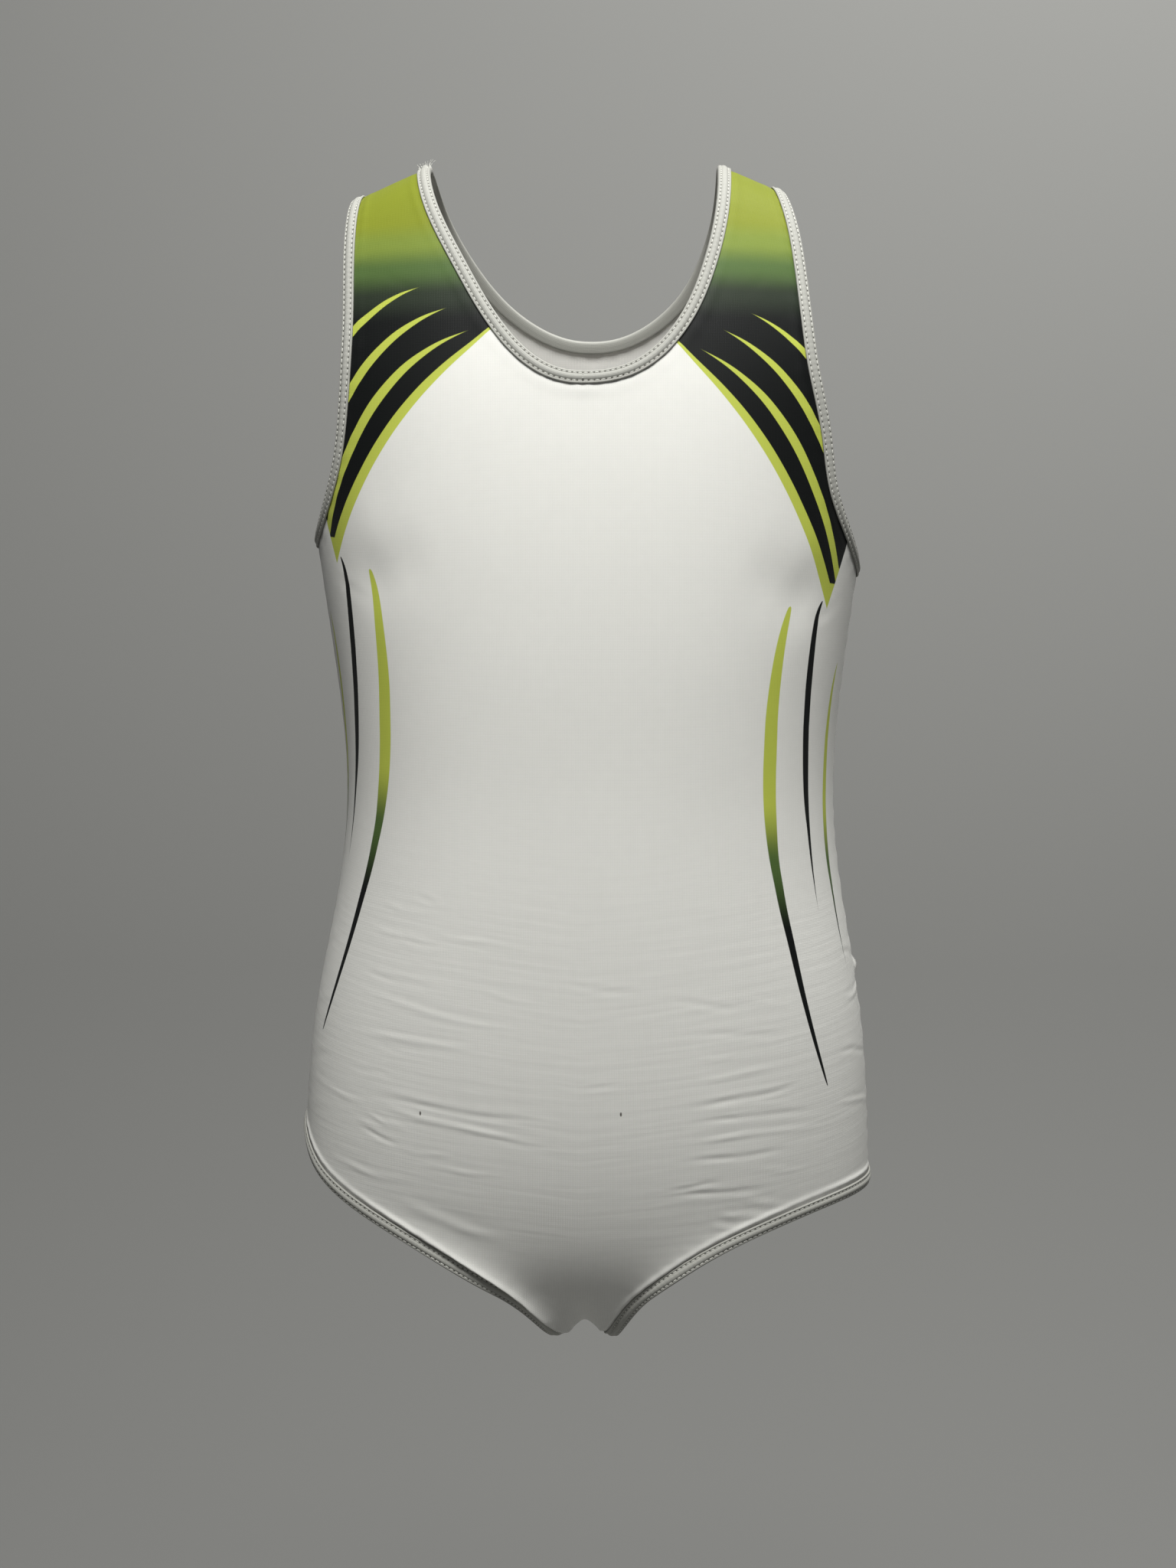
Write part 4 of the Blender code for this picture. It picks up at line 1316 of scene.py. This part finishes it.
def binding_material():
    """Off-white self knit, with painted shade in the needle holes, in the grooves of its stitch rows
    and under the strip's inner edge.
    """
    material, shader, knots, _, _, tone = knit_material("binding_knit", BINDING_ROUGHNESS)
    # The shade attribute is painted shade: the strip's inner edge, its stitch grooves and its needle
    # holes.
    shade = knots.add("ShaderNodeAttribute", attribute_name="shade").outputs["Fac"]
    colour = knots.blend(shade, SHADED_BINDING_WHITE, BINDING_SHADE)
    # The colour is multiplied by the knit's painted valley shade and the mottle.
    knots.feed(shader.inputs["Base Color"], knots.blend(1.0, colour, tone, "MULTIPLY"))
    return material


EDGES = {
    "neck_binding": Edge(
        "neck",
        (("front", "left", 1), ("back", "left", -1), ("back", "right", 1), ("front", "right", -1)),
    )
}
for name in SIDES:
    for kind in ("armhole", "leg"):
        EDGES[f"{kind}_binding_{name}"] = Edge(kind, (("front", name, 1), ("back", name, -1)))

binding_knit = binding_material()
bindings = {}
for node, edge in EDGES.items():
    ends = ()
    if node == "neck_binding":
        ends = [edge.right_shoulder() + end for end in CUT_ENDS]
    bindings[node] = make_binding(f"{node}_strip", edge, binding_knit, ends)
    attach(bindings[node], "root")
    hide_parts(node)


# The coverstitch: two rows of white polyester thread round every binding, each stitch a
# short stretch of thread that lies in its groove and dives in at both ends.

THREAD = (0.700, 0.700, 0.650, 1.0)
THREAD_ROUGHNESS = 0.42
THREAD_SHEEN = 0.3
THREAD_DULLNESS = 0.86
THREAD_MOTTLE = (400.0, 2.0)
TWIST_SCALE = 1400.0
TWIST_BUMP = 0.4
TWIST_DEPTH = 0.00004
THREAD_RADIUS = 0.00021
STITCH_LENGTH = 0.80
STITCH_LIFT = 0.00010
STITCH_SIDES = 6
STITCH_ROWS = (
    # from the inner line, height of its groove above the middle of the cloth
    (FIRST_ROW, 0.00134),
    (SECOND_ROW, 0.00136),
)


def thread_material():
    """White spun polyester thread, with the twist of its plies as a fine slanted bump."""
    material, shader, knots = new_material("white_thread", THREAD_ROUGHNESS)
    shader.inputs["Sheen Weight"].default_value = THREAD_SHEEN
    place = knots.add("ShaderNodeTexCoord").outputs["Object"]
    twist = knots.add("ShaderNodeTexWave", place, TWIST_SCALE, bands_direction="DIAGONAL")
    bump = knots.bump(twist.outputs["Fac"], TWIST_BUMP, TWIST_DEPTH)
    knots.feed(shader.inputs["Normal"], bump)
    tone = knots.add("ShaderNodeTexNoise", place, None, *THREAD_MOTTLE)
    share = knots.line(tone.outputs[0], 0.3, 0.7, 0.0, 1.0)
    dull = tuple(THREAD_DULLNESS * value for value in THREAD[:3]) + (1.0,)
    knots.feed(shader.inputs["Base Color"], knots.blend(share, dull, THREAD))
    return material


def stitch_shape():
    """A short stretch of thread, round and pointed at both ends, 2 m long and wide."""
    mesh = bmesh.new()
    bmesh.ops.create_uvsphere(mesh, u_segments=STITCH_SIDES, v_segments=5, radius=1)
    data = bpy.data.meshes.new("stitch_shape")
    mesh.to_mesh(data)
    mesh.free()
    return data


STITCH = stitch_shape()


def add_stitch(mesh, start, end, normal, radius=THREAD_RADIUS):
    """Adds one stretch of thread between two points."""
    along = Vector(end) - Vector(start)
    up = Vector(normal).normalized()
    length = along.length / 2
    along.normalize()
    across = up.cross(along).normalized()
    up = along.cross(across)
    middle = (Vector(start) + Vector(end)) / 2
    size = (across * radius, up * radius, along * length)
    placed = STITCH.copy()
    turned = Matrix([[column[row] for column in size] for row in range(3)]).to_4x4()
    placed.transform(Matrix.Translation(middle) @ turned)
    mesh.from_mesh(placed)
    bpy.data.meshes.remove(placed)


thread = thread_material()
stitch_rows = {}
for node, edge in EDGES.items():
    mesh = bmesh.new()
    for across, groove in STITCH_ROWS:
        line = edge.at(across, groove + STITCH_LIFT)
        normals = edge.at(across, 1.0) - edge.at(across, 0.0)
        for i in range(edge.stitches):
            middle = (i + 0.5) * edge.pitch
            reach = STITCH_LENGTH * edge.pitch / 2
            start, end = edge.point(line, middle - reach), edge.point(line, middle + reach)
            add_stitch(mesh, start, end, edge.point(normals, middle))
    stitch_rows[node] = link(f"{node}_stitches", mesh, thread)
    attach(stitch_rows[node], "root")


# The seams: the panels are overlocked together at the shoulders, the sides and the
# crotch, and under tension their white thread shows between the two edges.

SEAM_STITCH_PITCH = 0.0023
SEAM_STITCH_REACH = 0.0011
SEAM_THREAD_RADIUS = 0.00019
SEAM_THREAD_SINK = 0.6
SEAM_TURN_STEP = 0.012
SEAM_PLACES = {"side": 300, "shoulder": 60, "crotch": 40}


def seam_places(seam, name):
    """Many places along the front edge of a seam, between the bindings at its ends, and a
    small step across it."""
    neck, arm, leg = (opening(kind, "front", name, 40)[1] for kind in OPENINGS)
    middle_of_crotch = np.array((0.0, leg[0, RUN]))
    start, end = {
        "side": (leg[-1], arm[0]),
        "shoulder": (neck[-1], arm[-1]),
        "crotch": (middle_of_crotch, leg[0]),
    }[seam]
    step = (SEAM_TURN_STEP * SIDES[name], 0.0) if seam == "side" else (0.0, RUN_STEP)
    return straight(start, end, SEAM_PLACES[seam]), np.array(step)


mesh = bmesh.new()
SEAMS = [(seam, name) for seam in SEAM_PLACES for name in SIDES]
for seam, name in SEAMS:
    places, step = seam_places(seam, name)
    along = lengths_along(cloth(places))
    count = round(along[-1] / SEAM_STITCH_PITCH)
    for i in range(count):
        distance = (i + 0.5) * along[-1] / count
        place = np.array([np.interp(distance, along, places[:, k]) for k in (TURN, RUN)])
        normal = outward(place)
        crossing = cloth(place + step) - cloth(place - step)
        crossing *= SEAM_STITCH_REACH / np.linalg.norm(crossing)
        middle = cloth(place) + normal * (CLOTH_WALL / 2 - SEAM_DIP * SEAM_THREAD_SINK)
        add_stitch(mesh, middle - crossing, middle + crossing, normal, SEAM_THREAD_RADIUS)
seam_thread = link("seam_thread", mesh, thread)
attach(seam_thread, "root")


# The small things at the ends of the neck binding: the join of the strip at the middle
# of the front, and loose fibres where its cut ends stand up at the shoulder seam.

JOIN_STITCHES = 3
JOIN_REACH = 0.42
JOIN_ACROSS = (0.0018, 0.0040)
JOIN_HEIGHT = 0.0021
FIBRES = (
    # across the strip, lean across, lean along, length
    (0.0008, -0.0008, 0.0006, 0.0022),
    (0.0016, -0.0004, -0.0007, 0.0026),
    (0.0024, 0.0002, 0.0005, 0.0020),
    (0.0031, 0.0008, -0.0004, 0.0028),
    (0.0038, 0.0014, 0.0008, 0.0024),
    (0.0046, 0.0020, -0.0006, 0.0030),
    (0.0050, 0.0026, 0.0005, 0.0026),
    (0.0054, 0.0030, -0.0002, 0.0020),
)
FIBRE_RADIUS = 0.00014
FIBRE_TIP = 0.7
FIBRE_FOOT = 0.0030
# The shares of its length and of its lean at which a fibre bends.
FIBRE_BEND = (0.6, 0.4)

neck = EDGES["neck_binding"]
mesh = bmesh.new()
start, end = (Vector(neck.point(neck.at(across, JOIN_HEIGHT), 0.0)) for across in JOIN_ACROSS)
normal = neck.point(neck.inner_normals, 0.0)
for i in range(JOIN_STITCHES):
    share = (i + 0.5) / JOIN_STITCHES
    middle = start * (1 - share) + end * share
    reach = (end - start) * (JOIN_REACH / JOIN_STITCHES)
    add_stitch(mesh, middle - reach, middle + reach, normal)
shoulder = neck.right_shoulder()
up, out = neck.point(neck.inner_normals, shoulder), neck.point(neck.out, shoulder)
for across, lean_across, lean_along, length in FIBRES:
    foot = neck.point(neck.at(across, FIBRE_FOOT), shoulder + lean_along)
    middle = foot + up * length * FIBRE_BEND[0] + out * lean_across * FIBRE_BEND[1]
    tip = foot + up * length + out * lean_across
    add_stitch(mesh, foot, middle, out, FIBRE_RADIUS)
    add_stitch(mesh, middle, tip, out, FIBRE_RADIUS * FIBRE_TIP)
neck_join = link("neck_binding_join", mesh, thread)
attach(neck_join, "root")


# The studio: a pale sweep of paper behind and under the garment, soft lights, and the
# camera where the photograph was taken from.

SWEEP_GREY = (0.300, 0.300, 0.292, 1.0)
FLOOR_HEIGHT = -1.500
SWEEP_HALF_WIDTH = 3.0
SWEEP_FRONT = -2.4
SWEEP_BACK = 1.5
SWEEP_HEIGHT = 2.6
SWEEP_BEND = 0.9
SWEEP_STEPS = 24
PAPER_ROUGHNESS = 0.9

mesh = bmesh.new()
bend = [
    (
        SWEEP_BACK - SWEEP_BEND + SWEEP_BEND * math.sin(angle),
        FLOOR_HEIGHT + SWEEP_BEND * (1 - math.cos(angle)),
    )
    for angle in np.linspace(0, math.pi / 2, SWEEP_STEPS + 1)
]
profile = [(SWEEP_FRONT, FLOOR_HEIGHT), *bend, (SWEEP_BACK, SWEEP_HEIGHT)]
for i, corner in enumerate(add_grid(mesh, len(profile), 2)):
    row, column = divmod(i, 2)
    corner.co = ((2 * column - 1) * SWEEP_HALF_WIDTH, *profile[row])
bmesh.ops.recalc_face_normals(mesh, faces=mesh.faces)
paper, paper_shader, _ = new_material("backdrop_paper", PAPER_ROUGHNESS)
paper_shader.inputs["Base Color"].default_value = SWEEP_GREY
sweep = link("backdrop", mesh, paper)

LIGHT_COLOUR = (1.0, 0.998, 0.972)
LIGHTS = (
    # name, place, aimed at, size, power
    ("floor", (-0.2, -0.9, -1.2), (0.0, 0.0, -0.45), (1.0, 0.6), 0.35),
    ("key", (0.02, -1.05, 1.32), (0.0, 0.0, -0.20), (0.8, 0.7), 49.0),
    ("front", (0.15, -2.2, 0.60), (0.0, 0.0, -0.22), (1.4, 1.0), 1.8),
    ("wall", (0.9, 0.3, 1.5), (0.5, 1.5, -0.2), (1.6, 0.6), 30.0),
)
for name, place, target, size, power in LIGHTS:
    lamp = bpy.data.lights.new(name, "AREA")
    lamp.shape = "RECTANGLE"
    lamp.size, lamp.size_y = size
    lamp.energy = power
    lamp.color = LIGHT_COLOUR
    light = bpy.data.objects.new(name, lamp)
    light.location = place
    light.rotation_euler = (Vector(target) - Vector(place)).to_track_quat("-Z", "Y").to_euler()
    bpy.context.scene.collection.objects.link(light)

world = bpy.data.worlds.new("soft_room")
world.use_nodes = True
room = world.node_tree.nodes["Background"].inputs
room["Color"].default_value = (0.90, 0.92, 0.95, 1.0)
room["Strength"].default_value = 0.05
bpy.context.scene.world = world
bpy.context.scene.view_settings.view_transform = "Standard"

CAMERA_DISTANCE = 1.03
CAMERA_HEIGHT = -0.192
CAMERA_YAW = math.radians(2.0)
CAMERA_PITCH = math.radians(4.5)
LENS = 51.86
SENSOR = 36.0
lens = bpy.data.cameras.new("camera")
lens.sensor_fit = "VERTICAL"
lens.sensor_height = SENSOR
lens.lens = LENS
camera = bpy.data.objects.new("camera", lens)
camera.location = (
    CAMERA_DISTANCE * math.sin(CAMERA_YAW),
    -CAMERA_DISTANCE * math.cos(CAMERA_YAW),
    CAMERA_HEIGHT,
)
camera.rotation_euler = (math.pi / 2 - CAMERA_PITCH, 0.0, CAMERA_YAW)
bpy.context.scene.collection.objects.link(camera)
bpy.context.scene.camera = camera
